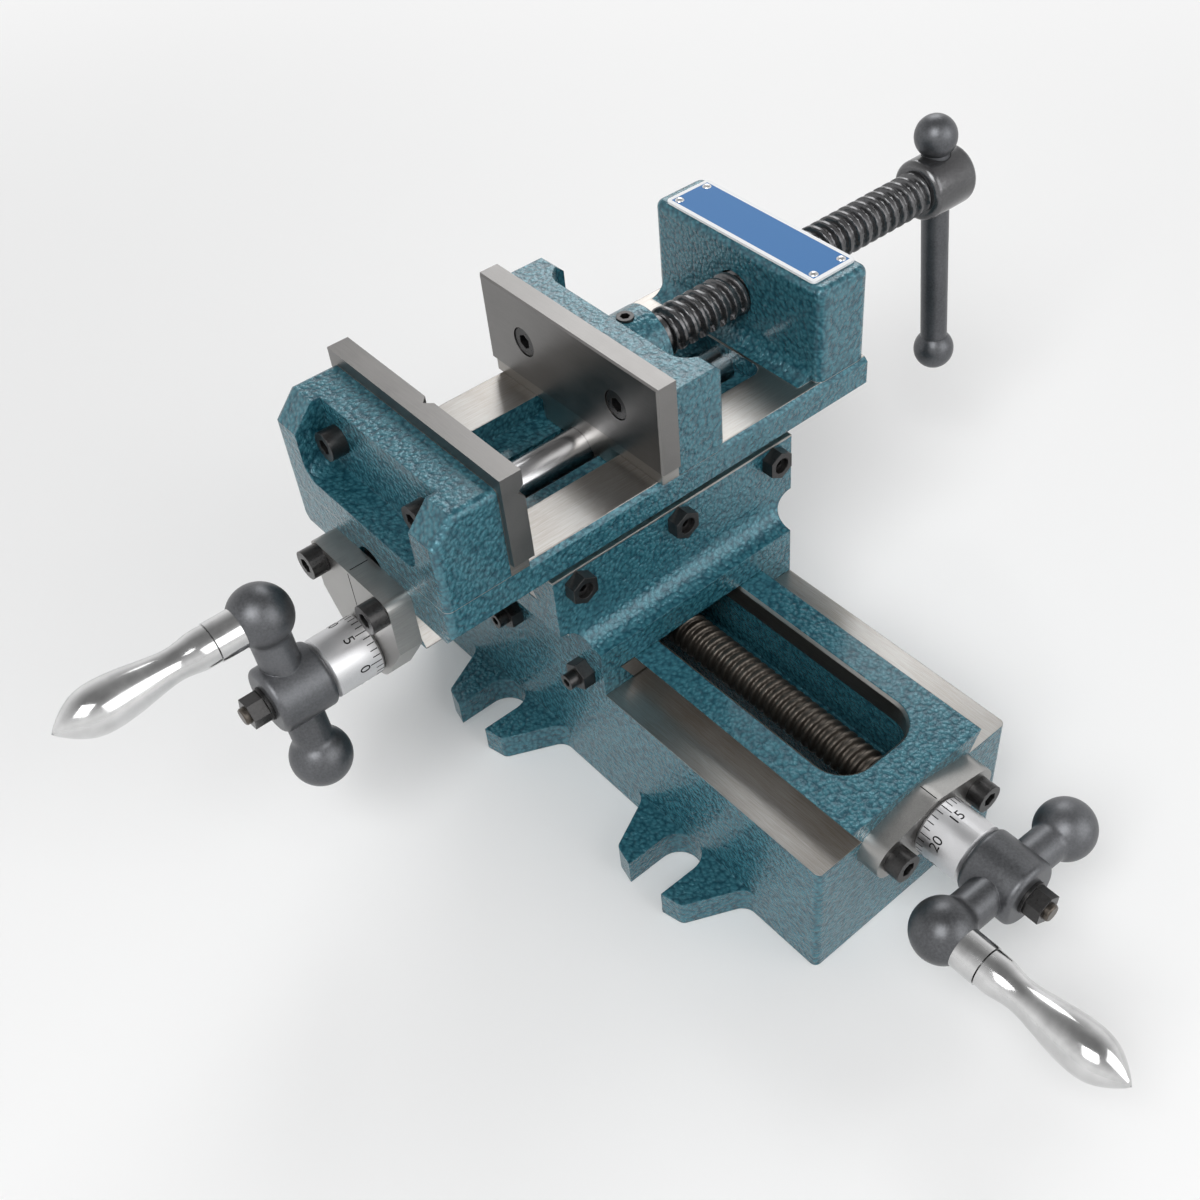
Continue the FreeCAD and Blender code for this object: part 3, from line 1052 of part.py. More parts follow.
# Jaw screw with its hub, and the tommy bar with its balls
def jaw_screw():
    boss_end = d.jaw_plate_thickness + d.jaw_boss_reach
    start = boss_end - d.jaw_journal_length
    groove = boss_end - d.jaw_groove_inset
    journal = d.jaw_journal_diameter / 2
    narrow = d.jaw_groove_diameter / 2
    wide = d.jaw_groove_width / 2
    thread = boss_end + d.jaw_neck_length
    hub = d.jaw_hub_diameter / 2
    r = d.jaw_hub_radius
    end = d.jaw_hub_place + d.jaw_hub_length
    neck = d.jaw_neck_diameter / 2
    outer = d.jaw_screw_diameter / 2
    body = new_body("jaw_screw")
    profile = [(start, 0), (end, 0), (end, hub - r), (end - r, hub, r), (d.jaw_hub_place + r, hub),
               (d.jaw_hub_place, hub - r, r), (d.jaw_hub_place, outer), (thread, outer), (thread, neck),
               (boss_end + d.relief_gap, neck), (boss_end + d.relief_gap, journal), (groove + wide, journal),
               (groove + wide, narrow), (groove - wide, narrow), (groove - wide, journal), (start, journal)]
    revolve(body, outline(sketch(body, "JawScrew", "XZ_Plane"), profile))
    middle = d.jaw_hub_place + d.jaw_hub_length / 2
    hole = ring(sketch(body, "BarHole", "XY_Plane"), middle, 0, d.bar_diameter / 2 + d.bar_gap)
    pocket(body, hole, d.jaw_hub_diameter * 2, both_ways=True)
    lean = FreeCAD.Rotation(V(1, 0, 0), -d.bar_tilt.value)
    keep(body, JAW_X, d.saddle_rest, JAW_AXIS, lean)
    ball = d.bar_ball_diameter / 2
    pin = d.bar_pin_diameter / 2
    bar = d.bar_diameter / 2
    hole = bar + d.bar_gap
    top = hub + root(ball * ball - hole * hole) + d.bar_ball_gap
    flat = root(ball * ball - bar * bar)
    depth = pin
    body = new_body("tommy_bar")
    profile = [(0, -d.bar_ball_drop - depth), (pin, -d.bar_ball_drop - depth), (pin, flat - d.bar_ball_drop),
               (bar, flat - d.bar_ball_drop), (bar, top - flat), (pin, top - flat), (pin, top + depth),
               (0, top + depth)]
    revolve(body, outline(sketch(body, "TommyBar", "XZ_Plane"), profile), "V_Axis")
    keep(body, JAW_X + middle, d.saddle_rest, JAW_AXIS, lean)
    body = new_body("tommy_bar_balls")
    turned = []
    for name, place, side in (("Upper", top, 1), ("Lower", -d.bar_ball_drop, -1)):
        seat = pin + d.seat_gap
        corners = [(seat, place - flat * side), (bar, place - flat * side), (ball, place, ball * side),
                   (0, place + ball * side, ball * side), (0, place + depth * side), (seat, place + depth * side)]
        turned.append(revolve(body, outline(sketch(body, f"{name}Ball", "XZ_Plane"), corners), "V_Axis"))
    keep(body, JAW_X + middle, d.saddle_rest, JAW_AXIS, lean)


# Feed brackets: flat flanges bored for the screws' journals, each held by two socket screws
def feed_brackets():
    thick = d.bracket_thickness
    journal = d.feed_journal_diameter / 2 + d.bearing_gap
    clear = d.screw_diameter / 2 + d.screw_hole_gap
    body = new_body("lower_bracket")
    hub = d.lower_bracket_hub / 2
    lobe = d.lower_bracket_lobe / 2
    reach = d.lower_bracket_spacing / 2
    cosine = (hub - lobe) / reach
    rise = root(1 - cosine * cosine)
    shape = sketch(body, "Flange", "YZ_Plane")
    outline(shape, [(hub * cosine, -hub * rise, hub), (reach + lobe * cosine, -lobe * rise), (reach + lobe, 0, lobe),
                    (reach + lobe * cosine, lobe * rise, lobe), (hub * cosine, hub * rise),
                    (-hub * cosine, hub * rise, hub), (-reach - lobe * cosine, lobe * rise),
                    (-reach - lobe, 0, lobe), (-reach - lobe * cosine, -lobe * rise, lobe),
                    (-hub * cosine, -hub * rise)])
    ring(shape, 0, 0, journal)
    for side in (-1, 1):
        ring(shape, reach * side, 0, clear)
    pad(body, shape, thick, backwards=True)
    keep(body, 0, -BASE_END, LOWER_AXIS, ALONG_Y)
    keep(socket_screws("lower_bracket_screws", d.bracket_screw_length, d.screw_head_height, 2,
                       d.lower_bracket_spacing), 0, -BASE_END - thick, LOWER_AXIS, ALONG_Y)
    body = new_body("upper_bracket")
    half = d.upper_bracket_width / 2
    shoulder = d.upper_bracket_shoulder
    hub = d.upper_bracket_hub / 2
    top = d.upper_screw_drop + d.upper_bracket_rise
    r = d.upper_bracket_corner
    span = half * half + shoulder * shoulder
    inward = hub * hub / span
    across = hub * root(span - hub * hub) / span
    touch_y = half * inward + shoulder * across
    touch_z = shoulder * inward - half * across
    shape = sketch(body, "Flange", "YZ_Plane")
    outline(shape, [(-touch_y, touch_z), (0, -hub, hub), (touch_y, touch_z, hub), (half, shoulder), (half, top - r),
                    (half - r, top, r), (r - half, top), (-half, top - r, r), (-half, shoulder)])
    ring(shape, 0, 0, journal)
    screw_height = DECK_UNDER + d.upper_bracket_screw_rise
    for side in (-1, 1):
        ring(shape, d.upper_bracket_spacing / 2 * side, screw_height - UPPER_AXIS, clear)
    pad(body, shape, thick, backwards=True)
    keep(body, BODY_X, d.saddle_rest, UPPER_AXIS)
    keep(socket_screws("upper_bracket_screws", d.bracket_screw_length, d.screw_head_height, 2,
                       d.upper_bracket_spacing), BODY_X - thick, d.saddle_rest, screw_height)


def feed_drive(tag, x, y, z, along, crank_angle, inner_profile):
    """Screw, dial, crank and grip of one slide. Local x = 0 is the bracket's back, negative x is outside."""
    face = -d.bracket_thickness - d.end_float
    dial_end = face - d.dial_length
    hub_end = dial_end - d.crank_hub_length
    nut_seat = hub_end - d.washer_thickness
    nut_end = nut_seat - d.crank_nut_thickness
    journal = d.feed_journal_diameter / 2
    seat = d.feed_seat_diameter / 2
    stud = d.crank_stud_diameter / 2
    tip = nut_end - d.crank_stud_end
    body = new_body(f"{tag}_feed_screw")
    profile = [(tip, 0)] + inner_profile + [(d.end_float, d.feed_screw_diameter / 2), (d.end_float, journal),
                                            (dial_end, journal), (dial_end, seat), (hub_end, seat),
                                            (hub_end, stud), (tip, stud)]
    revolve(body, outline(sketch(body, "FeedScrew", "XZ_Plane"), profile))
    keep(body, x, y, z, along)
    body = new_body(f"{tag}_dial")
    outer = d.dial_diameter / 2
    c = d.dial_chamfer
    inner = journal + d.seat_gap
    profile = [(dial_end, inner), (face, inner), (face, outer - c), (face - c, outer), (dial_end + c, outer),
               (dial_end, outer - c)]
    revolve(body, outline(sketch(body, "Dial", "XZ_Plane"), profile))
    keep(body, x, y, z, along)
    turned = along.multiply(FreeCAD.Rotation(V(1, 0, 0), crank_angle.value))
    crank(f"{tag}_crank", dial_end, hub_end, x, y, z, turned)
    place = dial_end - d.crank_ball_offset
    grip(tag, place, x, y, z, turned)
    washer = new_body(f"{tag}_crank_washer")
    shape = ring(sketch(washer, "Washer", "YZ_Plane", hub_end), 0, 0, d.washer_diameter / 2)
    ring(shape, 0, 0, stud + d.seat_gap)
    pad(washer, shape, d.washer_thickness, backwards=True)
    keep(washer, x, y, z, along)
    nut = new_body(f"{tag}_crank_nut")
    shape = hexagon(sketch(nut, "Nut", "YZ_Plane", nut_seat), 0, 0, d.lock_nut_flats)
    ring(shape, 0, 0, stud + d.seat_gap)
    pad(nut, shape, d.crank_nut_thickness, backwards=True)
    keep(nut, x, y, z, turned)


def crank(label, dial_end, hub_end, x, y, z, turned):
    """Crank with a ball at each end of its arms. The ball at positive y carries the grip."""
    body = new_body(label)
    hub = d.crank_hub_diameter / 2
    r = d.crank_hub_radius
    shape = sketch(body, "Hub", "XZ_Plane")
    outline(shape, [(hub_end, 0), (dial_end, 0), (dial_end, hub - r), (dial_end - r, hub, r), (hub_end + r, hub),
                    (hub_end, hub - r, r)])
    revolve(body, shape)
    ball = d.crank_ball_diameter / 2
    neck = d.crank_neck_diameter / 2
    throw = d.crank_throw
    bite = root(ball * ball - neck * neck)
    middle = dial_end - d.crank_ball_offset
    arms = sketch(body, "Arms", "XY_Plane")
    bind(arms, "AttachmentOffset.Base.x", middle)
    outline(arms, [(0, -throw - ball), (ball, -throw, ball), (neck, bite - throw, ball),
                   (neck, throw - bite), (ball, throw, ball), (0, throw + ball, ball)])
    revolve(body, arms, "V_Axis")
    joint = [name for name in edges_within(body, (middle - ball, -throw, -ball), (middle + ball, throw, ball))
             if abs(abs(body.Tip.Shape.getElement(name).CenterOfMass.y) - (throw - bite).value) < 0.1]
    dress(body, "Fillet", "Necks", d.crank_neck_radius, joint)
    bore = ring(sketch(body, "Bore", "YZ_Plane"), 0, 0, d.feed_seat_diameter / 2 + d.seat_gap)
    pocket(body, bore, d.body_length, both_ways=True)
    hole = ring(sketch(body, "PinHole", "YZ_Plane", middle), throw, 0, d.grip_pin_diameter / 2 + d.seat_gap)
    pocket(body, hole, ball * 2, both_ways=True)
    collar = d.ferrule_diameter / 2
    seat = middle - root(ball * ball - collar * collar)
    pocket(body, ring(sketch(body, "CollarSeat", "YZ_Plane", seat), throw, 0, collar + d.seat_gap), ball)
    keep(body, x, y, z, turned)


def grip(tag, place, x, y, z, turned):
    """Fixed collar with its pin, and the grip that turns on it. Distances run outwards from the ball's middle."""
    ball = d.crank_ball_diameter / 2
    collar = d.ferrule_diameter / 2
    pin = d.grip_pin_diameter / 2
    seat = root(ball * ball - collar * collar)
    end = d.ferrule_length
    body = new_body(f"{tag}_grip_pin")
    profile = [(ball * 0.5, 0), (ball * 0.5, pin), (-seat, pin), (-seat, collar), (-end, collar), (-end, pin),
               (-d.grip_pin_reach, pin), (-d.grip_pin_reach, 0)]
    shape = sketch(body, "GripPin", "XZ_Plane")
    outline(shape, profile)
    revolve(body, shape)
    offset = turned.multVec(V(place.value, d.crank_throw.value, 0))
    keep(body, x, y, z, turned)
    body.Placement = FreeCAD.Placement(body.Placement.Base + offset, turned)
    for axis, amount, shift in (("x", x, offset.x), ("y", y, offset.y), ("z", z, offset.z)):
        bind(body, f"Placement.Base.{axis}", size(amount) + shift)
    stations = ((end + d.grip_gap, d.grip_collar_diameter), (end * 1.3, d.grip_collar_diameter),
                (d.grip_neck_place, d.grip_neck_diameter),
                ((d.grip_neck_place + d.grip_belly_place * 2) / 3, d.grip_belly_diameter * 0.92),
                (d.grip_belly_place, d.grip_belly_diameter),
                (d.grip_belly_place * 0.35 + d.grip_reach * 0.65, d.grip_belly_diameter * 0.74))
    points = [V(-along.value, 0, across.value / 2) for along, across in stations]
    nose = V(-d.grip_reach.value, 0, 0)
    curve = Part.BSplineCurve()
    curve.interpolate(Points=points + [nose], InitialTangent=V(-1, 0, 0), FinalTangent=V(0, 0, -1))
    start = V(points[0].x, 0, 0)
    half = Part.Wire([Part.LineSegment(start, points[0]).toShape(), curve.toShape(),
                      Part.LineSegment(nose, start).toShape()])
    outer = Part.Face(half).revolve(V(0, 0, 0), V(1, 0, 0), 360)
    depth = d.grip_pin_reach + d.grip_gap
    bore = Part.makeCylinder((pin + d.bearing_gap).value, depth.value, V(0, 0, 0), V(-1, 0, 0))
    handle = doc.addObject("Part::Feature", f"{tag}_grip")
    handle.Label = f"{tag}_grip"
    handle.Shape = outer.cut(bore)
    keep(handle, x, y, z, turned)
    handle.setExpression("Placement.Base.x", None)
    for axis, amount, shift in (("x", x, offset.x), ("y", y, offset.y), ("z", z, offset.z)):
        bind(handle, f"Placement.Base.{axis}", size(amount) + shift)


def feed_drives():
    radius = d.feed_screw_diameter / 2
    far = d.far_journal_diameter / 2
    shoulder = d.base_length - d.base_slot_wall - d.end_float
    end = d.base_length - d.end_float * 5
    feed_drive("lower", 0, -BASE_END, LOWER_AXIS, ALONG_Y, d.lower_crank_angle,
               [(end, 0), (end, far), (shoulder, far), (shoulder, radius)])
    end = d.upper_screw_length
    feed_drive("upper", BODY_X, d.saddle_rest, UPPER_AXIS, ALONG_X, d.upper_crank_angle,
               [(end, 0), (end, radius - 1), (end - 1, radius)])


base_casting()
saddle_casting()
gibs()
saddle_fasteners()
feed_nuts()
vise_body_casting()
name_plate()
guide_bar()
jaw_plates()
movable_jaw_casting()
jaw_screw()
feed_brackets()
feed_drives()

doc.recompute()
for item in doc.Objects:
    if "Invalid" in item.State or "Error" in item.State:
        raise RuntimeError(f"{item.Name} did not work out: {item.State}")
for item in parts:
    if item.Shape.isNull() or not item.Shape.isValid():
        raise RuntimeError(f"{item.Label} has no valid shape")

os.makedirs("parts", exist_ok=True)
for item in parts:
    item.Shape.exportStep(f"parts/{item.Label}.step")
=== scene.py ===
import math

import bmesh
import bpy
from mathutils import Matrix, Vector


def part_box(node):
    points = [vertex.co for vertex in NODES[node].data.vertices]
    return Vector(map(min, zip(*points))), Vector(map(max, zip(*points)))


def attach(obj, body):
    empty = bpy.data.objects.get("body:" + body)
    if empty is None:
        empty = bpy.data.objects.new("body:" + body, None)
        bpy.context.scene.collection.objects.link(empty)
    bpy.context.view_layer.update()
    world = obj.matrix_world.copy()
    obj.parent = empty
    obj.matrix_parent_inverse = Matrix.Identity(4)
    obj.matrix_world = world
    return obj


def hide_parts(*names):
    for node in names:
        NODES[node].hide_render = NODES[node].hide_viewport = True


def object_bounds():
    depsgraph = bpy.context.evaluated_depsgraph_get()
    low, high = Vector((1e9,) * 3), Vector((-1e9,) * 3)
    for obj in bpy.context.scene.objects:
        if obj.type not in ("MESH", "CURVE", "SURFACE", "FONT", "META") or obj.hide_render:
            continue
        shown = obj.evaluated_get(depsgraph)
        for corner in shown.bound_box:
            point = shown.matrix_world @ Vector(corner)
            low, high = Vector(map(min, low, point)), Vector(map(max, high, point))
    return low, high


bl_info = {
    "name": "Cross slide vise looks",
    "version": (1, 0, 0),
    "blender": (4, 5, 0),
    "location": "3D View > Sidebar > Vise",
    "description": "Finishes, threads, dial marks and studio of a cross slide vise",
    "category": "Object",
}

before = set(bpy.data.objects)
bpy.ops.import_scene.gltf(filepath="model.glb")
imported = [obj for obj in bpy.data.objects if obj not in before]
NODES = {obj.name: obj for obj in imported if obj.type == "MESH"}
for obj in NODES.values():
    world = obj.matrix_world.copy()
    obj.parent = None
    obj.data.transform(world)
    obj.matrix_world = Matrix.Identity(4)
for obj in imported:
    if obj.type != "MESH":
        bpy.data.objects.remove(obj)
CAD_LOW, CAD_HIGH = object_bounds()
MM = 0.001

# Heights of faces and of screws' axes. All sizes up to the studio's are in millimetres, in the part's frame.
RAILS = 44.3
UPPER_FACE = 89.3
BED = 102.0
LOWER_AXIS = 40.0
UPPER_AXIS = 70.0
JAW_AXIS = 116.85

# The base's end in y, the vise body's end and the movable jaw's clamping face in x, the saddle's middle in y
BASE_END = -92.0
BODY_END = -77.4
JAW_FACE = -7.4
SADDLE_Y = 36.0

# Pieces on a feed screw: lengths of bracket, dial and crank hub, the play between them, and radii
BRACKET = 7.2
DIAL_LENGTH = 15.0
DIAL_RADIUS = 9.0
FLOAT_GAP = 0.1
CRANK_HUB = 16.8
NUT_REACH = 7.3
FEED_RADIUS = 6
BRACKET_BORE = 5
HUB_BORE = 4
STUD_RADIUS = 2.5
STUD_CHAMFER = (0.4, 0.3)
LOWER_SCREW_LENGTH = 184
LOWER_END_WALL = 12.7
LOWER_END_GAP = 0.5
UPPER_SCREW_LENGTH = 132

# Jaw screw: (start, end, radius) of its thread, its hub, the tommy bar's hole as (place, radius), its turn
JAW_THREAD = (33.4, 141.4, 7)
JAW_HUB = (141.4, 161.0)
JAW_HUB_RADIUS = 9.9
JAW_HUB_EDGE = 2.5
TOMMY_HOLE = (151.2, 4.7)
JAW_HUB_LEAN = -5.4

# Cranks: from the screw's axis to the grip's, the angles at rest, and from the dial to the arms' middle
CRANK_THROW = 25.1
CRANK_ANGLES = {"lower": 6, "upper": 80}
CRANK_MIDDLE = 9

# Pale border of the name plate
PLATE_BORDER = 1.3

# Outlines of turned shapes as (x, radius), from axis to axis
JAW_NOSE = [(12.2, 0), (12.2, 5), (18.5, 5), (18.5, 3.5), (23.7, 3.5), (23.7, 5), (28.8, 5), (28.8, 5.8),
            (33.4, 5.8), (33.4, 0)]
GRIP_BORE = [(-44.3, 0), (-44.3, 3.05), (-14.3, 3.05)]
GRIP_OUTSIDE = [(-14.3, 5.4), (-18.2, 5.35), (-25.5, 4.5), (-37.2, 6.3), (-43.5, 6.8), (-47.5, 6.4),
                (-50.5, 5.3), (-53.5, 3.4), (-56, 1.25)]
GRIP_POINT = [(-57, 0)]

# Thread form: half the flat crest as a share of the pitch, the flanks' slope, how finely it is made, and
# the whole turns that are added before only their fraction counts
CREST_HALF = 0.16
FLANK_SLOPE = 5.0
ROWS_PER_TURN = 16
KEEPS_POSITIVE = 8.0

# Dial marks: the reading of each dial, a long line against a short one, and the numbers against their height
READINGS = {"lower": 15, "upper": 7}
DIAL_CHAMFER = 0.9
LONG_LINE = 1.6
FONT_SIZE_PER_HEIGHT = 1.35
FIGURE_MIDDLE = 0.62

# Index lines: their section, and where they start above the dial
INDEX_WIDTH = 0.3
INDEX_THICKNESS = 0.06
INDEX_START = 0.7
BRACKET_CHAMFER = 0.8

# Textures, in cells per metre: scratches and how much longer than wide they are, grain, and the warp of the
# enamel with its reach in metres
SCRATCHES = 9000
SCRATCH_STRETCH = 60
GRAIN = 1500.0
WARP_SCALE = 500.0
WARP_REACH = 0.0012

# Stands for no limit in a zone
ANY = None

# Sockets of a Mix node that share their names with others, by their place in it
MIX_COLOUR_A = 6
MIX_COLOUR_B = 7
MIX_COLOUR_OUT = 2

# Studio, in metres and watts: the floor's half size, how far it lies under the vise, where it fades to white,
# the world's strength for what isn't seen, and each lamp's name, place, size and strength
FLOOR_REACH = 40.0
FLOOR_DROP = 0.0002
FLOOR_FADE = (0.3, 1.0)
WORLD_LIGHT = 0.55
LAMPS = (("key", (-0.9, -0.5, 1.3), 0.9, 16),
         ("fill", (0.5, -1.3, 0.8), 1.2, 9),
         ("rim", (0.9, 0.9, 1.0), 0.8, 7))


class ViseFinish(bpy.types.PropertyGroup):
    """Colours and textures of the vise."""

    paint: bpy.props.FloatVectorProperty(
        name="Paint", description="Hammered enamel of the castings", subtype="COLOR", size=3,
        default=(0.042, 0.170, 0.215), min=0, max=1)
    # Painted shade: the enamel's colour is darkened in the hammered hollows, where the relief is lowest
    paint_valley: bpy.props.FloatVectorProperty(
        name="Paint in hollows", description="Darker enamel in the hammered hollows", subtype="COLOR", size=3,
        default=(0.010, 0.068, 0.098), min=0, max=1)
    hammer_size: bpy.props.FloatProperty(
        name="Hammer size", description="Width of one hammered cell", default=0.0013, unit="LENGTH")
    machined: bpy.props.FloatVectorProperty(
        name="Machined iron", description="Ground rails and brackets", subtype="COLOR", size=3,
        default=(0.37, 0.365, 0.355), min=0, max=1)
    plate_blue: bpy.props.FloatVectorProperty(
        name="Name plate", description="Bare blue field of the plate", subtype="COLOR", size=3,
        default=(0.008, 0.130, 0.360), min=0, max=1)


class ViseThreads(bpy.types.PropertyGroup):
    """Threads of the three screws."""

    feed_pitch: bpy.props.FloatProperty(
        name="Feed pitch", description="Travel of a slide for one turn", default=0.003, unit="LENGTH")
    jaw_pitch: bpy.props.FloatProperty(
        name="Jaw pitch", description="Travel of the jaw for one turn", default=0.004, unit="LENGTH")
    feed_depth: bpy.props.FloatProperty(
        name="Feed depth", description="Depth of the feed screws' threads", default=0.0012, unit="LENGTH")
    jaw_depth: bpy.props.FloatProperty(
        name="Jaw depth", description="Depth of the jaw screw's thread", default=0.0016, unit="LENGTH")
    around: bpy.props.IntProperty(
        name="Sides", description="Sides of a thread's circle", default=36, min=12, max=96)


class ViseDials(bpy.types.PropertyGroup):
    """Marks of the two dials."""

    divisions: bpy.props.IntProperty(
        name="Divisions", description="Lines round a dial", default=30, min=10, max=100)
    numbered: bpy.props.IntProperty(
        name="Numbered", description="Divisions between numbers", default=5, min=1, max=20)
    line_width: bpy.props.FloatProperty(
        name="Line width", description="Width of a line", default=0.00026, unit="LENGTH")
    line_length: bpy.props.FloatProperty(
        name="Line length", description="Length of a short line", default=0.0022, unit="LENGTH")
    figure_height: bpy.props.FloatProperty(
        name="Figure height", description="Height of the numbers", default=0.0032, unit="LENGTH")
    proud: bpy.props.FloatProperty(
        name="Ink", description="Thickness of the marks", default=0.00004, unit="LENGTH")


def new_material(name, colour, metallic, roughness):
    """A node material, its tree and its shader."""
    material = bpy.data.materials.new(name)
    material.use_nodes = True
    tree = material.node_tree
    shader = tree.nodes["Principled BSDF"]
    shader.inputs["Base Color"].default_value = (*colour, 1)
    shader.inputs["Metallic"].default_value = metallic
    shader.inputs["Roughness"].default_value = roughness
    material.diffuse_color = (*colour, 1)
    return material, tree, shader


def node(tree, kind, **values):
    """A new node with some of its sockets and settings set."""
    made = tree.nodes.new(kind)
    for key, value in values.items():
        if key in made.inputs:
            made.inputs[key].default_value = value
        else:
            setattr(made, key, value)
    return made


def arithmetic(tree, operation, first, second=0.0):
    """A Math node fed by one or two sockets or numbers."""
    made = tree.nodes.new("ShaderNodeMath")
    made.operation = operation
    for socket, source in zip(made.inputs, (first, second)):
        if isinstance(source, (int, float)):
            socket.default_value = source
        else:
            tree.links.new(source, socket)
    return made.outputs[0]


def object_place(tree, scale=(1, 1, 1)):
    """Object coordinates, stretched by a Mapping node."""
    place = tree.nodes.new("ShaderNodeTexCoord")
    mapping = node(tree, "ShaderNodeMapping", Scale=scale)
    tree.links.new(place.outputs["Object"], mapping.inputs["Vector"])
    return mapping.outputs["Vector"]


def colour_ramp(tree, factor, low, high, start=0.35, end=0.65):
    """A ramp between two colours."""
    ramp = tree.nodes.new("ShaderNodeValToRGB")
    ramp.color_ramp.elements[0].position = start
    ramp.color_ramp.elements[1].position = end
    ramp.color_ramp.elements[0].color = (*low, 1)
    ramp.color_ramp.elements[1].color = (*high, 1)
    tree.links.new(factor, ramp.inputs["Fac"])
    return ramp.outputs["Color"]


def grey(value):
    """A neutral colour."""
    return (value, value, value)


def bump(tree, shader, height, strength, distance):
    """Relief on a shader from a height, the distance in metres."""
    made = node(tree, "ShaderNodeBump", Strength=strength, Distance=distance)
    tree.links.new(height, made.inputs["Height"])
    tree.links.new(made.outputs["Normal"], shader.inputs["Normal"])
    return made


def weighed(tree, first, share, second):
    """Two tones mixed, the first with its share and the second with the rest."""
    return arithmetic(tree, "ADD", arithmetic(tree, "MULTIPLY", first, share),
                      arithmetic(tree, "MULTIPLY", second, 1 - share))


def grinding(tree, along):
    """Fine parallel scratches that run along one axis."""
    stretch = [SCRATCHES] * 3
    stretch["xyz".index(along)] = SCRATCHES / SCRATCH_STRETCH
    noise = node(tree, "ShaderNodeTexNoise", Scale=1.0, Detail=3.0, Roughness=0.6)
    tree.links.new(object_place(tree, stretch), noise.inputs["Vector"])
    return noise.outputs["Fac"]


def mottling(tree, scale=60):
    """Broad uneven tone."""
    noise = node(tree, "ShaderNodeTexNoise", Scale=float(scale), Detail=4.0, Roughness=0.55)
    tree.links.new(object_place(tree), noise.inputs["Vector"])
    return noise.outputs["Fac"]


def metal(name, colour, roughness, along="x", contrast=0.18):
    """Metal with scratches, uneven tone and uneven gloss."""
    material, tree, shader = new_material(name, colour, 1.0, roughness)
    streaks = grinding(tree, along)
    tone = weighed(tree, streaks, 0.6, mottling(tree))
    dark = [c * (1 - contrast) for c in colour]
    light = [min(1.0, c * (1 + contrast)) for c in colour]
    tree.links.new(colour_ramp(tree, tone, dark, light), shader.inputs["Base Color"])
    gloss = colour_ramp(tree, tone, grey(roughness * 0.8), grey(min(1.0, roughness * 1.25)))
    tree.links.new(gloss, shader.inputs["Roughness"])
    bump(tree, shader, streaks, 0.25, 0.00002)
    return material


def inside(tree, zone, axes):
    """One where a place lies in a zone: low and high, or ANY, for each of x, y and z in millimetres."""
    result = None
    for socket, limits in zip(axes, zone):
        if limits is ANY:
            continue
        for operation, limit in (("GREATER_THAN", limits[0]), ("LESS_THAN", limits[1])):
            test = arithmetic(tree, operation, socket, limit * MM)
            result = test if result is None else arithmetic(tree, "MULTIPLY", result, test)
    return result


def place_axes(tree):
    """The x, y and z of the object's place."""
    split = tree.nodes.new("ShaderNodeSeparateXYZ")
    tree.links.new(object_place(tree), split.inputs["Vector"])
    return split.outputs


def hammered(tree, size):
    """Distance in the uneven cells of hammered enamel: nothing at a cell's middle, more at its rim."""
    warp = node(tree, "ShaderNodeTexNoise", Scale=WARP_SCALE, Detail=2.0)
    tree.links.new(object_place(tree), warp.inputs["Vector"])
    shift = node(tree, "ShaderNodeVectorMath", operation="MULTIPLY_ADD")
    shift.inputs[1].default_value = grey(WARP_REACH)
    tree.links.new(warp.outputs["Color"], shift.inputs[0])
    tree.links.new(object_place(tree), shift.inputs[2])
    cells = node(tree, "ShaderNodeTexVoronoi", feature="SMOOTH_F1", Scale=1 / size, Smoothness=0.55)
    tree.links.new(shift.outputs[0], cells.inputs["Vector"])
    return cells.outputs["Distance"]


def casting(name, zones, along, settings):
    """Hammered enamel with painted shade in its hollows, bare ground iron inside the zones."""
    material, tree, shader = new_material(name, settings.paint, 0.0, 0.25)
    axes = place_axes(tree)
    bare = None
    for zone in zones:
        part = inside(tree, zone, axes)
        bare = part if bare is None else arithmetic(tree, "MAXIMUM", bare, part)
    hollow = hammered(tree, settings.hammer_size)
    # Painted shade: towards each cell's rim, where the bump makes a hollow, the enamel turns to the darker
    # colour
    enamel = colour_ramp(tree, hollow, settings.paint, settings.paint_valley, 0.25, 0.75)
    iron_tone = weighed(tree, grinding(tree, along), 0.55, mottling(tree, 22))
    stained = [c * share for c, share in zip(settings.machined, (0.66, 0.60, 0.54))]
    iron = colour_ramp(tree, iron_tone, stained, settings.machined, 0.36, 0.60)
    colours = node(tree, "ShaderNodeMix", data_type="RGBA")
    tree.links.new(bare, colours.inputs["Factor"])
    tree.links.new(enamel, colours.inputs[MIX_COLOUR_A])
    tree.links.new(iron, colours.inputs[MIX_COLOUR_B])
    tree.links.new(colours.outputs[MIX_COLOUR_OUT], shader.inputs["Base Color"])
    for socket, painted, ground in (("Metallic", 0.25, 1.0), ("Roughness", 0.24, 0.34)):
        mix = node(tree, "ShaderNodeMix", A=painted, B=ground)
        tree.links.new(bare, mix.inputs["Factor"])
        tree.links.new(mix.outputs["Result"], shader.inputs[socket])
    shader.inputs["Coat Weight"].default_value = 0.35
    shader.inputs["Coat Roughness"].default_value = 0.12
    fine = node(tree, "ShaderNodeTexNoise", Scale=1.6 / settings.hammer_size, Detail=2.0)
    tree.links.new(object_place(tree), fine.inputs["Vector"])
    grainy = arithmetic(tree, "ADD", hollow, arithmetic(tree, "MULTIPLY", fine.outputs["Fac"], 0.7))
    painted_height = arithmetic(tree, "MULTIPLY", grainy, arithmetic(tree, "SUBTRACT", 1.0, bare))
    ground_height = arithmetic(tree, "MULTIPLY", arithmetic(tree, "MULTIPLY", iron_tone, bare), 0.06)
    height = arithmetic(tree, "ADD", painted_height, ground_height)
    relief = bump(tree, shader, height, 1.0, 0.00036)
    relief.invert = True
    soften(tree, relief)
    return material


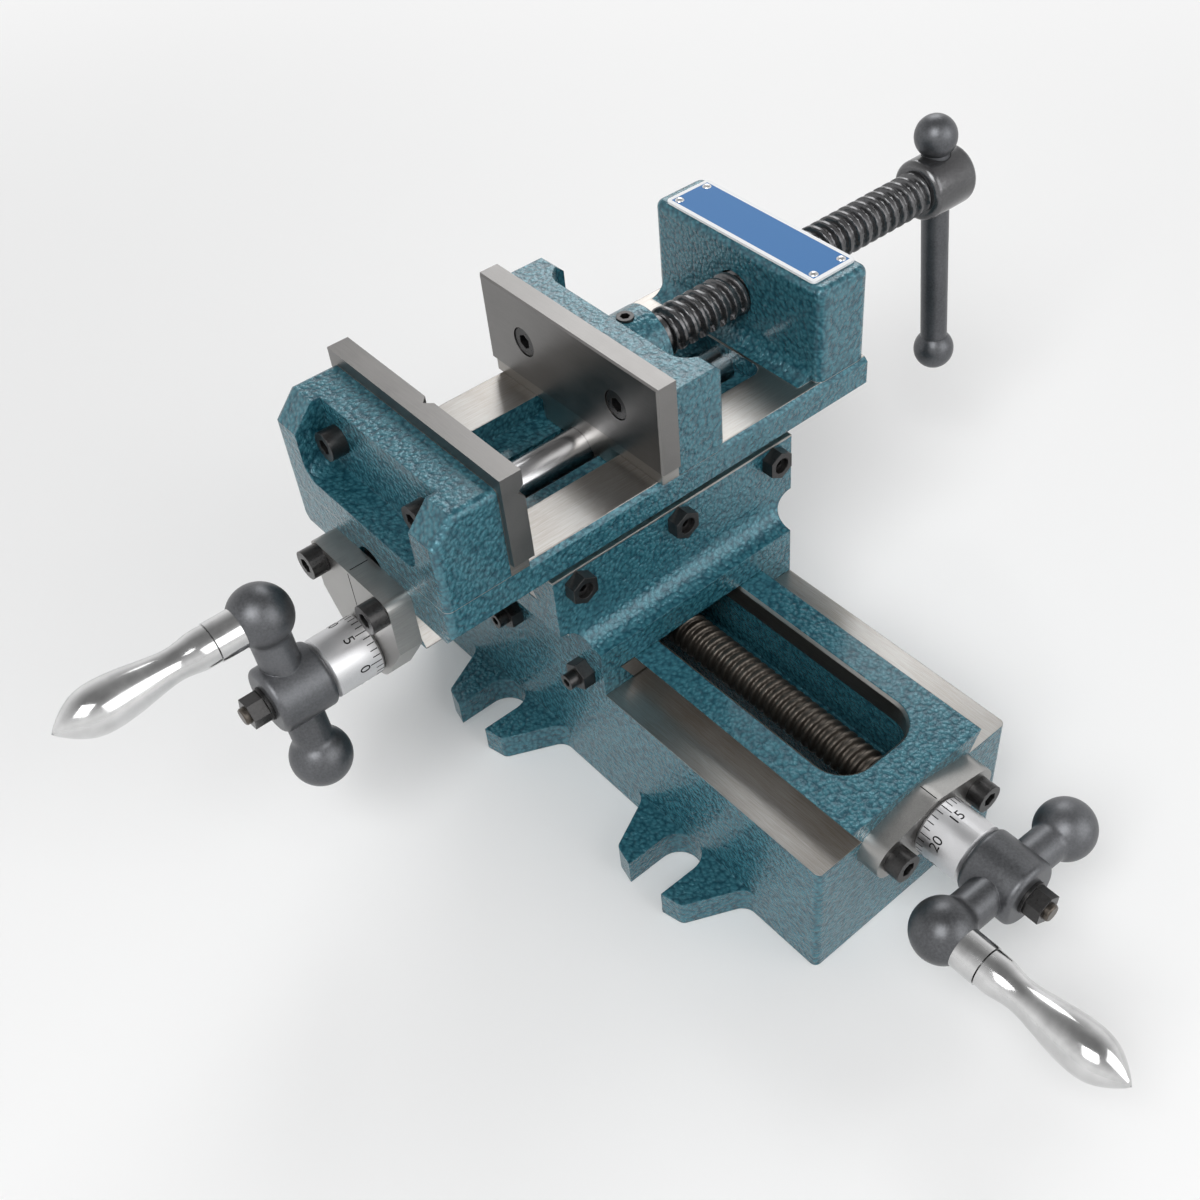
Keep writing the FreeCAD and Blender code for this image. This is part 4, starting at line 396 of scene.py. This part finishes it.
def soften(tree, relief, radius=0.0005):
    """Round the look of sharp edges."""
    bevel = node(tree, "ShaderNodeBevel", Radius=radius, samples=4)
    tree.links.new(bevel.outputs["Normal"], relief.inputs["Normal"])


def dress(names, material):
    """Give CAD nodes one finish."""
    for name in names:
        slots = NODES[name].data.materials
        if len(slots) == 0:
            slots.append(material)
        for index in range(len(slots)):
            slots[index] = material


# Each casting's grinding direction and its bare zones: (low, high) in x, y and z, in millimetres, or ANY
CASTINGS = {
    "base_casting": ("y", [(ANY, (BASE_END + 0.1, -BASE_END - 0.1), (RAILS - 0.1, RAILS + 7.2))]),
    "saddle_casting": ("x", [(ANY, ANY, (UPPER_FACE - 0.6, 95)),
                             ((-44.5, 44.5), (SADDLE_Y - 27.4, SADDLE_Y + 27.4), (57.9, 95)),
                             ((-31.2, 27), (-6.1, 78.1), (44, 52.3))]),
    "vise_body_casting": ("x", [(ANY, ANY, (BED - 0.1, BED + 0.1)),
                                ((BODY_END + 0.1, 80), ANY, (70, UPPER_FACE + 0.05)),
                                ((-57.2, -51), ANY, (BED, 140))]),
    "movable_jaw_casting": ("x", [(ANY, ANY, (80, BED + 0.2)), ((-7, -0.8), ANY, (BED, 140))]),
}


class VISE_OT_castings(bpy.types.Operator):
    """Enamel on the castings, bare iron on their ground faces."""

    bl_idname = "vise.castings"
    bl_label = "Castings"

    def execute(self, context):
        settings = context.scene.vise_finish
        for name, (along, zones) in CASTINGS.items():
            dress([name], casting(f"enamel_{name}", zones, along, settings))
        return {"FINISHED"}


def polished(name):
    """Mirror-bright plated steel."""
    material, tree, shader = new_material(name, (0.62, 0.62, 0.62), 1.0, 0.16)
    tone = mottling(tree, 140)
    tree.links.new(colour_ramp(tree, tone, grey(0.54), grey(0.66)), shader.inputs["Base Color"])
    tree.links.new(colour_ramp(tree, tone, grey(0.11), grey(0.20)), shader.inputs["Roughness"])
    bump(tree, shader, tone, 0.02, 0.00005)
    return material


def turned_grey(name, colour, roughness):
    """Phosphated steel: matt, slightly mottled, with a fine grain."""
    material, tree, shader = new_material(name, colour, 0.85, roughness)
    grains = node(tree, "ShaderNodeTexNoise", Scale=GRAIN, Detail=5.0, Roughness=0.65)
    tree.links.new(object_place(tree), grains.inputs["Vector"])
    tone = weighed(tree, grains.outputs["Fac"], 0.5, mottling(tree, 45))
    low = [c * 0.72 for c in colour]
    high = [min(1.0, c * 1.3) for c in colour]
    tree.links.new(colour_ramp(tree, tone, low, high), shader.inputs["Base Color"])
    tree.links.new(colour_ramp(tree, tone, grey(roughness * 0.85), grey(roughness * 1.15)),
                   shader.inputs["Roughness"])
    relief = bump(tree, shader, grains.outputs["Fac"], 0.25, 0.00006)
    soften(tree, relief, 0.0003)
    return material


def bordered_plate(settings):
    """Blue enamel field in a pale border, both bare."""
    material, tree, shader = new_material("blue_plate", settings.plate_blue, 0.0, 0.5)
    shader.inputs["Specular IOR Level"].default_value = 0.3
    low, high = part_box("name_plate")
    across, along = ((low[axis] / MM + PLATE_BORDER, high[axis] / MM - PLATE_BORDER) for axis in (0, 1))
    field = inside(tree, (across, along, ANY), place_axes(tree))
    colours = colour_ramp(tree, field, (0.78, 0.79, 0.80), settings.plate_blue, 0.0, 1.0)
    tree.links.new(colours, shader.inputs["Base Color"])
    bump(tree, shader, mottling(tree, 900), 0.06, 0.00004)
    return material


class VISE_OT_fittings(bpy.types.Operator):
    """Finishes of brackets, gibs, plates, cranks, dials, grips and small fasteners."""

    bl_idname = "vise.fittings"
    bl_label = "Fittings"

    def execute(self, context):
        settings = context.scene.vise_finish
        iron = metal("ground_iron", tuple(settings.machined), 0.36)
        dress(["lower_bracket", "upper_bracket", "lower_gib", "upper_gib"], iron)
        dress(["fixed_jaw_plate", "movable_jaw_plate"],
              metal("ground_plate", (0.205, 0.200, 0.195), 0.36, "y", 0.14))
        dress(["lower_dial", "upper_dial"], metal("brushed_dial", (0.62, 0.62, 0.63), 0.40, "z", 0.10))
        dress(["guide_bar"], metal("ground_bar", (0.55, 0.55, 0.56), 0.22, "x", 0.1))
        dress(["lower_crank", "upper_crank"], turned_grey("phosphated_crank", (0.115, 0.118, 0.125), 0.42))
        dress(["tommy_bar", "tommy_bar_balls"], turned_grey("phosphated_bar", (0.10, 0.103, 0.11), 0.38))
        black = turned_grey("black_oxide", (0.048, 0.047, 0.047), 0.30)
        ends = ("_screws", "_screw", "_nuts", "_crank_nut", "_washer")
        dress([name for name in sorted(NODES) if name.endswith(ends)], black)
        dress(["lower_feed_nut", "upper_feed_nut"], metal("bronze_nut", (0.50, 0.33, 0.14), 0.38))
        dress(["name_plate"], bordered_plate(settings))
        dress(["name_plate_rivets"], metal("rivet", (0.72, 0.72, 0.72), 0.3))
        return {"FINISHED"}


def group_input(tree, name, kind):
    """A named input of a node group."""
    tree.interface.new_socket(name, in_out="INPUT", socket_type=kind)


def thread_tree():
    """Nodes that wrap a grid into a threaded rod along X, its ends closed on the axis."""
    tree = bpy.data.node_groups.new("threaded_rod", "GeometryNodeTree")
    for name in ("Length", "Radius", "Depth", "Pitch", "Hand"):
        group_input(tree, name, "NodeSocketFloat")
    for name in ("Rows", "Sides"):
        group_input(tree, name, "NodeSocketInt")
    group_input(tree, "Finish", "NodeSocketMaterial")
    tree.interface.new_socket("Geometry", in_out="OUTPUT", socket_type="NodeSocketGeometry")
    given = tree.nodes.new("NodeGroupInput").outputs
    grid = tree.nodes.new("GeometryNodeMeshGrid")
    grid.inputs["Size X"].default_value = 1
    grid.inputs["Size Y"].default_value = 1
    tree.links.new(given["Rows"], grid.inputs["Vertices X"])
    tree.links.new(arithmetic(tree, "ADD", given["Sides"], 1), grid.inputs["Vertices Y"])
    place = tree.nodes.new("ShaderNodeSeparateXYZ")
    tree.links.new(tree.nodes.new("GeometryNodeInputPosition").outputs[0], place.inputs[0])
    share = arithmetic(tree, "ADD", place.outputs["X"], 0.5)
    round_share = arithmetic(tree, "ADD", place.outputs["Y"], 0.5)
    along = arithmetic(tree, "MULTIPLY", share, given["Length"])
    angle = arithmetic(tree, "MULTIPLY", round_share, 2 * math.pi)
    turns = arithmetic(tree, "SUBTRACT", arithmetic(tree, "DIVIDE", along, given["Pitch"]),
                       arithmetic(tree, "MULTIPLY", round_share, given["Hand"]))
    phase = arithmetic(tree, "FRACT", arithmetic(tree, "ADD", turns, KEEPS_POSITIVE))
    ridge = arithmetic(tree, "ABSOLUTE", arithmetic(tree, "SUBTRACT", phase, 0.5))
    slope = arithmetic(tree, "MULTIPLY", arithmetic(tree, "SUBTRACT", ridge, CREST_HALF), FLANK_SLOPE)
    flank = arithmetic(tree, "MINIMUM", arithmetic(tree, "MAXIMUM", slope, 0.0), 1.0)
    cut = arithmetic(tree, "MULTIPLY", flank, given["Depth"])
    radius = arithmetic(tree, "SUBTRACT", given["Radius"], cut)
    ends = arithmetic(tree, "MULTIPLY", arithmetic(tree, "GREATER_THAN", share, 0.0001),
                      arithmetic(tree, "LESS_THAN", share, 0.9999))
    radius = arithmetic(tree, "MULTIPLY", radius, ends)
    combine = tree.nodes.new("ShaderNodeCombineXYZ")
    tree.links.new(along, combine.inputs["X"])
    for axis, wave in (("Y", "COSINE"), ("Z", "SINE")):
        reach = arithmetic(tree, "MULTIPLY", radius, arithmetic(tree, wave, angle))
        tree.links.new(reach, combine.inputs[axis])
    moved = tree.nodes.new("GeometryNodeSetPosition")
    tree.links.new(grid.outputs["Mesh"], moved.inputs["Geometry"])
    tree.links.new(combine.outputs[0], moved.inputs["Position"])
    merged = node(tree, "GeometryNodeMergeByDistance", Distance=0.000001)
    tree.links.new(moved.outputs[0], merged.inputs["Geometry"])
    real = tree.nodes.new("GeometryNodeRealizeInstances")
    tree.links.new(merged.outputs[0], real.inputs[0])
    finish = tree.nodes.new("GeometryNodeSetMaterial")
    tree.links.new(real.outputs[0], finish.inputs["Geometry"])
    tree.links.new(given["Finish"], finish.inputs["Material"])
    tree.links.new(finish.outputs[0], tree.nodes.new("NodeGroupOutput").inputs[0])
    return tree


def grown(tree, values):
    """The mesh that a node tree makes from named inputs."""
    holder = bpy.data.objects.new("holder", bpy.data.meshes.new("holder"))
    bpy.context.scene.collection.objects.link(holder)
    modifier = holder.modifiers.new("grow", "NODES")
    modifier.node_group = tree
    for item in tree.interface.items_tree:
        if item.in_out == "INPUT" and item.name in values:
            modifier[item.identifier] = values[item.name]
    return evaluated_mesh(holder)


def lathe(work, profile, sides=48):
    """Add a closed turned shape along X to a bmesh. The profile runs from axis to axis as (x, radius)."""
    rings = []
    for x, radius in profile:
        if radius == 0:
            rings.append([work.verts.new((x * MM, 0, 0))])
            continue
        ring = []
        for step in range(sides):
            angle = 2 * math.pi * step / sides
            reach = radius * MM
            ring.append(work.verts.new((x * MM, reach * math.cos(angle), reach * math.sin(angle))))
        rings.append(ring)
    for first, second in zip(rings, rings[1:]):
        for step in range(sides):
            corners = [first[step % len(first)], first[(step + 1) % sides % len(first)],
                       second[(step + 1) % sides % len(second)], second[step % len(second)]]
            unique = list(dict.fromkeys(corners))
            if len(unique) > 2:
                work.faces.new(unique)


def finished(work, name, placing=None, outward=True):
    """A mesh from a bmesh, its faces turned outward if asked, put in its place if one is given."""
    if outward:
        bmesh.ops.recalc_face_normals(work, faces=work.faces)
    if placing is not None:
        bmesh.ops.transform(work, verts=work.verts, matrix=placing)
    mesh = bpy.data.meshes.new(name)
    work.to_mesh(mesh)
    work.free()
    return mesh


def evaluated_mesh(item):
    """The mesh of an object after its modifiers. The object is taken away."""
    graph = bpy.context.evaluated_depsgraph_get()
    mesh = bpy.data.meshes.new_from_object(item.evaluated_get(graph), depsgraph=graph)
    bpy.data.objects.remove(item)
    return mesh


def piece(name, mesh, body, material, smooth_angle=35):
    """A finished object at the origin, riding on a body."""
    made = bpy.data.objects.new(name, mesh)
    bpy.context.scene.collection.objects.link(made)
    mesh.materials.clear()
    mesh.materials.append(material)
    mesh.shade_smooth()
    if smooth_angle:
        mesh.set_sharp_from_angle(angle=math.radians(smooth_angle))
    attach(made, body)
    return made


def drilled(profile, place, radius):
    """A turned shape with a hole right through it, across its axis at one place along X."""
    work = bmesh.new()
    lathe(work, profile, 96)
    solid = finished(work, "hub")
    work = bmesh.new()
    bmesh.ops.create_cone(work, cap_ends=True, segments=64, radius1=radius * MM, radius2=radius * MM,
                          depth=60 * MM, matrix=Matrix.Translation((place * MM, 0, 0)))
    drill = finished(work, "drill", outward=False)
    hub, cutter = (bpy.data.objects.new(mesh.name, mesh) for mesh in (solid, drill))
    for item in (hub, cutter):
        bpy.context.scene.collection.objects.link(item)
    modifier = hub.modifiers.new("hole", "BOOLEAN")
    modifier.operation = "DIFFERENCE"
    modifier.solver = "EXACT"
    modifier.object = cutter
    mesh = evaluated_mesh(hub)
    bpy.data.objects.remove(cutter)
    return mesh


def threaded_screw(name, plain, rod, depth, pitch, hand, placing, body, material, extra=()):
    """A threaded rod (start, end, radius) with plain turned shapes at its ends, in place of its CAD node."""
    settings = bpy.context.scene.vise_threads
    start, end, radius = rod
    length = end - start
    rows = int(length * MM / pitch * ROWS_PER_TURN)
    mesh = grown(thread_tree(), {"Length": length * MM, "Radius": radius * MM, "Depth": depth, "Pitch": pitch,
                                 "Hand": float(hand), "Rows": rows, "Sides": settings.around,
                                 "Finish": material})
    work = bmesh.new()
    work.from_mesh(mesh)
    bmesh.ops.translate(work, verts=work.verts, vec=(start * MM, 0, 0))
    for profile in plain:
        lathe(work, profile)
    for shape in extra:
        work.from_mesh(shape)
    mesh = finished(work, f"{name}_threaded", placing)
    made = piece(f"{name}_threaded", mesh, body, material)
    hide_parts(name)
    return made


def axis_frame(x, y, z, along_y=False):
    """Where a turned piece drawn along X goes, in millimetres."""
    turn = Matrix.Rotation(math.radians(90), 4, "Z") if along_y else Matrix.Identity(4)
    return Matrix.Translation(Vector((x, y, z)) * MM) @ turn


FEED_FRAMES = {"lower": axis_frame(0, BASE_END, LOWER_AXIS, True),
               "upper": axis_frame(BODY_END, SADDLE_Y, UPPER_AXIS)}


class VISE_OT_screws(bpy.types.Operator):
    """The two feed screws and the jaw screw with their threads."""

    bl_idname = "vise.screws"
    bl_label = "Screws"

    def execute(self, context):
        settings = context.scene.vise_threads
        oiled = turned_grey("oiled_screw", (0.092, 0.080, 0.068), 0.34)
        black = turned_grey("black_screw", (0.115, 0.115, 0.118), 0.22)
        face = -BRACKET - FLOAT_GAP
        dial_end = face - DIAL_LENGTH
        hub_end = dial_end - CRANK_HUB
        tip = hub_end - NUT_REACH
        journal = [(tip, 0), (tip, STUD_RADIUS - STUD_CHAMFER[1]), (tip + STUD_CHAMFER[0], STUD_RADIUS),
                   (hub_end, STUD_RADIUS), (hub_end, HUB_BORE), (dial_end, HUB_BORE),
                   (dial_end, BRACKET_BORE), (FLOAT_GAP, BRACKET_BORE), (FLOAT_GAP, 0)]
        far = LOWER_SCREW_LENGTH - LOWER_END_WALL - FLOAT_GAP
        end = LOWER_SCREW_LENGTH - LOWER_END_GAP
        far_journal = [(far, 0), (far, HUB_BORE), (end, HUB_BORE), (end, 0)]
        threaded_screw("lower_feed_screw", [journal, far_journal], (FLOAT_GAP, far, FEED_RADIUS),
                       settings.feed_depth, settings.feed_pitch, -1, FEED_FRAMES["lower"],
                       "lower_drive", oiled)
        threaded_screw("upper_feed_screw", [journal], (FLOAT_GAP, UPPER_SCREW_LENGTH, FEED_RADIUS),
                       settings.feed_depth, settings.feed_pitch, 1, FEED_FRAMES["upper"],
                       "upper_drive", oiled)
        edge = JAW_HUB_EDGE
        flat = JAW_HUB_RADIUS - edge
        turns = [math.pi / 2 * step / 8 for step in range(9)]
        round_edge = [(edge - edge * math.cos(turn), flat + edge * math.sin(turn)) for turn in turns]
        start, end = JAW_HUB
        hub = [(start, 0)] + [(start + x, radius) for x, radius in round_edge]
        hub += [(end - x, radius) for x, radius in reversed(round_edge)] + [(end, 0)]
        leaning = (axis_frame(JAW_FACE, SADDLE_Y, JAW_AXIS)
                   @ Matrix.Rotation(math.radians(JAW_HUB_LEAN), 4, "X"))
        threaded_screw("jaw_screw", [JAW_NOSE], JAW_THREAD, settings.jaw_depth, settings.jaw_pitch, 1,
                       leaning, "jaw_screw", black, [drilled(hub, *TOMMY_HOLE)])
        return {"FINISHED"}


def smooth_profile(points, steps=8):
    """More points along a smooth curve through a turned outline's points."""
    ends = [points[0]] + points + [points[-1]]
    result = []
    for before, start, end, after in zip(ends, ends[1:], ends[2:], ends[3:]):
        for step in range(steps):
            share = step / steps
            result.append(tuple(
                0.5 * (2 * b + (c - a) * share + (2 * a - 5 * b + 4 * c - d) * share ** 2
                       + (3 * b - 3 * c + d - a) * share ** 3)
                for a, b, c, d in zip(before, start, end, after)))
    return result + [points[-1]]


class VISE_OT_grips(bpy.types.Operator):
    """The two turning grips with their pointed ends, bored for their pins."""

    bl_idname = "vise.grips"
    bl_label = "Grips"

    def execute(self, context):
        finish = polished("polished_grip")
        dress(["lower_grip_pin", "upper_grip_pin"], finish)
        profile = GRIP_BORE + smooth_profile(GRIP_OUTSIDE) + GRIP_POINT
        ball = BRACKET + FLOAT_GAP + DIAL_LENGTH + CRANK_MIDDLE
        low, high = (math.radians(CRANK_ANGLES[tag]) for tag in ("lower", "upper"))
        places = {"lower": axis_frame(-CRANK_THROW * math.cos(low), BASE_END - ball,
                                      LOWER_AXIS + CRANK_THROW * math.sin(low), True),
                  "upper": axis_frame(BODY_END - ball, SADDLE_Y + CRANK_THROW * math.cos(high),
                                      UPPER_AXIS + CRANK_THROW * math.sin(high))}
        for tag, placing in places.items():
            work = bmesh.new()
            lathe(work, profile, 64)
            mesh = finished(work, f"{tag}_grip_turned", placing)
            made = piece(f"{tag}_grip_turned", mesh, f"{tag}_grip", finish)
            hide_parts(f"{tag}_grip")
        return {"FINISHED"}


def curved_patch(work, centre_angle, centre_x, width, length, radius, proud):
    """Add a thin curved bar to a bmesh, lying on a cylinder about X."""
    half_angle = width / radius / 2
    corners = []
    for x in (centre_x - length / 2, centre_x + length / 2):
        for angle in (centre_angle - half_angle, centre_angle + half_angle):
            for reach in (radius - proud, radius + proud):
                corners.append(work.verts.new((x, reach * math.cos(angle), reach * math.sin(angle))))
    for face in ((0, 1, 3, 2), (4, 6, 7, 5), (0, 4, 5, 1), (2, 3, 7, 6), (0, 2, 6, 4), (1, 5, 7, 3)):
        work.faces.new([corners[index] for index in face])


def figure_mesh(text, height):
    """A number as a closed mesh, centred. Its thickness only tells the outer face from the inner one."""
    curve = bpy.data.curves.new("figure", "FONT")
    curve.body = text
    curve.size = height * FONT_SIZE_PER_HEIGHT
    curve.align_x = "CENTER"
    curve.align_y = "CENTER"
    curve.extrude = 0.5
    holder = bpy.data.objects.new("figure", curve)
    bpy.context.scene.collection.objects.link(holder)
    return evaluated_mesh(holder)


def dial_marks(tag, placing, reading):
    """Lines and numbers round one dial that shows a reading under the index line at its top."""
    settings = bpy.context.scene.vise_dials
    work = bmesh.new()
    radius = DIAL_RADIUS * MM
    edge = -(BRACKET + FLOAT_GAP + DIAL_CHAMFER) * MM
    for step in range(settings.divisions):
        angle = math.pi / 2 + 2 * math.pi * (reading - step) / settings.divisions
        long = LONG_LINE if step % settings.numbered == 0 else 1.0
        length = settings.line_length * long
        curved_patch(work, angle, edge - length / 2, settings.line_width, length, radius, settings.proud)
    centre = edge - settings.line_length * LONG_LINE - settings.figure_height * FIGURE_MIDDLE
    for step in range(0, settings.divisions, settings.numbered):
        angle = math.pi / 2 + 2 * math.pi * (reading - step) / settings.divisions
        figure = bmesh.new()
        figure.from_mesh(figure_mesh(str(step), settings.figure_height))
        for vertex in figure.verts:
            across, up, out = vertex.co
            turn = angle + across / radius
            reach = radius + (settings.proud if out > 0 else -settings.proud)
            vertex.co = (centre + up, reach * math.cos(turn), reach * math.sin(turn))
        work.from_mesh(finished(figure, "figure", outward=False))
    bmesh.ops.remove_doubles(work, verts=work.verts, dist=0.000001)
    return finished(work, f"{tag}_dial_marks", placing)


class VISE_OT_marks(bpy.types.Operator):
    """Lines and numbers of the dials, and the index line on each bracket."""

    bl_idname = "vise.marks"
    bl_label = "Dial marks"

    def execute(self, context):
        ink = turned_grey("black_ink", (0.012, 0.012, 0.013), 0.5)
        for tag, holder, axis in (("lower", "base", LOWER_AXIS), ("upper", "vise_body", UPPER_AXIS)):
            placing = FEED_FRAMES[tag]
            marks = dial_marks(tag, placing, READINGS[tag])
            piece(f"{tag}_dial_marks", marks, f"{tag}_drive", ink)
            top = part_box(f"{tag}_bracket")[1].z / MM - axis
            low = DIAL_RADIUS + INDEX_START
            high = top - BRACKET_CHAMFER
            face_size = (INDEX_THICKNESS, INDEX_WIDTH, high - low)
            top_size = (BRACKET - 2 * BRACKET_CHAMFER, INDEX_WIDTH, INDEX_THICKNESS)
            work = bmesh.new()
            for size, middle in ((face_size, (-BRACKET, 0, (low + high) / 2)),
                                 (top_size, (-BRACKET / 2, 0, top))):
                made = bmesh.ops.create_cube(work, size=MM)["verts"]
                bmesh.ops.scale(work, vec=size, verts=made)
                bmesh.ops.translate(work, vec=Vector(middle) * MM, verts=made)
            mesh = finished(work, f"{tag}_index_line", placing, False)
            piece(f"{tag}_index_line", mesh, holder, ink, 0)
        return {"FINISHED"}


def seen_rays(tree):
    """One for what the camera sees, straight or by reflection."""
    rays = tree.nodes.new("ShaderNodeLightPath")
    return arithmetic(tree, "MAXIMUM", rays.outputs["Is Camera Ray"], rays.outputs["Is Glossy Ray"])


def soft_light(name, place, size, energy, target):
    """A square lamp that faces a point."""
    lamp = bpy.data.lights.new(name, "AREA")
    lamp.size = size
    lamp.energy = energy
    made = bpy.data.objects.new(name, lamp)
    made.location = place
    made.rotation_mode = "QUATERNION"
    made.rotation_quaternion = (Vector(place) - Vector(target)).to_track_quat("Z", "Y")
    bpy.context.scene.collection.objects.link(made)


def floor_finish():
    """Pale floor that keeps shadows near the vise and fades to white away from it, as the camera sees it."""
    material, tree, shader = new_material("pale_floor", grey(0.90), 0.0, 0.6)
    reach = node(tree, "ShaderNodeVectorMath", operation="LENGTH")
    tree.links.new(object_place(tree), reach.inputs[0])
    far = node(tree, "ShaderNodeMapRange", interpolation_type="SMOOTHSTEP")
    far.inputs["From Min"].default_value, far.inputs["From Max"].default_value = FLOOR_FADE
    tree.links.new(reach.outputs["Value"], far.inputs["Value"])
    white = tree.nodes.new("ShaderNodeEmission")
    blend = tree.nodes.new("ShaderNodeMixShader")
    seen = arithmetic(tree, "MULTIPLY", far.outputs["Result"], seen_rays(tree))
    for socket, source in zip(blend.inputs, (seen, shader.outputs[0], white.outputs[0])):
        tree.links.new(source, socket)
    tree.links.new(blend.outputs[0], tree.nodes["Material Output"].inputs["Surface"])
    return material


def lay_floor(scene):
    """The floor just under the vise."""
    work = bmesh.new()
    bmesh.ops.create_grid(work, x_segments=8, y_segments=8, size=FLOOR_REACH)
    mesh = bpy.data.meshes.new("floor")
    work.to_mesh(mesh)
    work.free()
    mesh.materials.append(floor_finish())
    floor = bpy.data.objects.new("floor", mesh)
    floor.location.z = -FLOOR_DROP
    scene.collection.objects.link(floor)


def light_world(scene):
    """A world white at the horizon and darker overhead, at full strength only where it is seen."""
    world = scene.world or bpy.data.worlds.new("studio")
    scene.world = world
    world.use_nodes = True
    tree = world.node_tree
    background = tree.nodes["Background"]
    height = tree.nodes.new("ShaderNodeSeparateXYZ")
    tree.links.new(tree.nodes.new("ShaderNodeTexCoord").outputs["Generated"], height.inputs[0])
    sky = colour_ramp(tree, height.outputs["Z"], grey(1.0), grey(0.26), 0.25, 0.95)
    tree.links.new(sky, background.inputs["Color"])
    strength = arithmetic(tree, "MULTIPLY_ADD", seen_rays(tree), 1 - WORLD_LIGHT)
    strength.node.inputs[2].default_value = WORLD_LIGHT
    tree.links.new(strength, background.inputs["Strength"])


def photo_camera(scene):
    """The photograph's camera, solved from the straight edges seen in it."""
    lens = bpy.data.cameras.new("photo_camera")
    lens.sensor_width = 36
    lens.lens = 43.487
    lens.shift_x = -0.09
    lens.shift_y = 0.02
    lens.clip_start = 0.01
    camera = bpy.data.objects.new("photo_camera", lens)
    right = Vector((0.73735, -0.67482, -0.03072))
    up = Vector((0.50474, 0.52015, 0.68898))
    back = Vector((-0.44895, -0.52352, 0.72414))
    turn = Matrix((right, up, back)).transposed().to_4x4()
    camera.matrix_world = Matrix.Translation((-0.19217, -0.23345, 0.35934)) @ turn
    scene.collection.objects.link(camera)
    scene.camera = camera


class VISE_OT_studio(bpy.types.Operator):
    """Floor, pale world, soft lights and the camera of the photograph."""

    bl_idname = "vise.studio"
    bl_label = "Studio"

    def execute(self, context):
        scene = context.scene
        scene.view_settings.view_transform = "Standard"
        lay_floor(scene)
        light_world(scene)
        for name, place, size, energy in LAMPS:
            soft_light(name, place, size, energy, (CAD_LOW + CAD_HIGH) / 2)
        photo_camera(scene)
        return {"FINISHED"}


class VISE_PT_panel(bpy.types.Panel):
    """Sizes and steps of the vise's looks."""

    bl_idname = "VISE_PT_panel"
    bl_label = "Cross slide vise"
    bl_space_type = "VIEW_3D"
    bl_region_type = "UI"
    bl_category = "Vise"

    def draw(self, context):
        for group in (context.scene.vise_finish, context.scene.vise_threads, context.scene.vise_dials):
            column = self.layout.column(align=True)
            for name in group.bl_rna.properties.keys():
                if name not in ("rna_type", "name"):
                    column.prop(group, name)
        for operator in STEPS:
            self.layout.operator(operator.bl_idname)


STEPS = (VISE_OT_castings, VISE_OT_fittings, VISE_OT_screws, VISE_OT_grips, VISE_OT_marks, VISE_OT_studio)
GROUPS = (("vise_finish", ViseFinish), ("vise_threads", ViseThreads), ("vise_dials", ViseDials))


def register():
    """Add the sizes, steps and panel to Blender."""
    for name, group in GROUPS:
        bpy.utils.register_class(group)
        setattr(bpy.types.Scene, name, bpy.props.PointerProperty(type=group))
    for item in STEPS + (VISE_PT_panel,):
        bpy.utils.register_class(item)


def unregister():
    """Take them away again."""
    for item in reversed(STEPS + (VISE_PT_panel,)):
        bpy.utils.unregister_class(item)
    for name, group in reversed(GROUPS):
        delattr(bpy.types.Scene, name)
        bpy.utils.unregister_class(group)


def main():
    """Run every step."""
    register()
    bpy.ops.vise.castings()
    bpy.ops.vise.fittings()
    bpy.ops.vise.screws()
    bpy.ops.vise.grips()
    bpy.ops.vise.marks()
    bpy.ops.vise.studio()


if __name__ == "__main__":
    main()
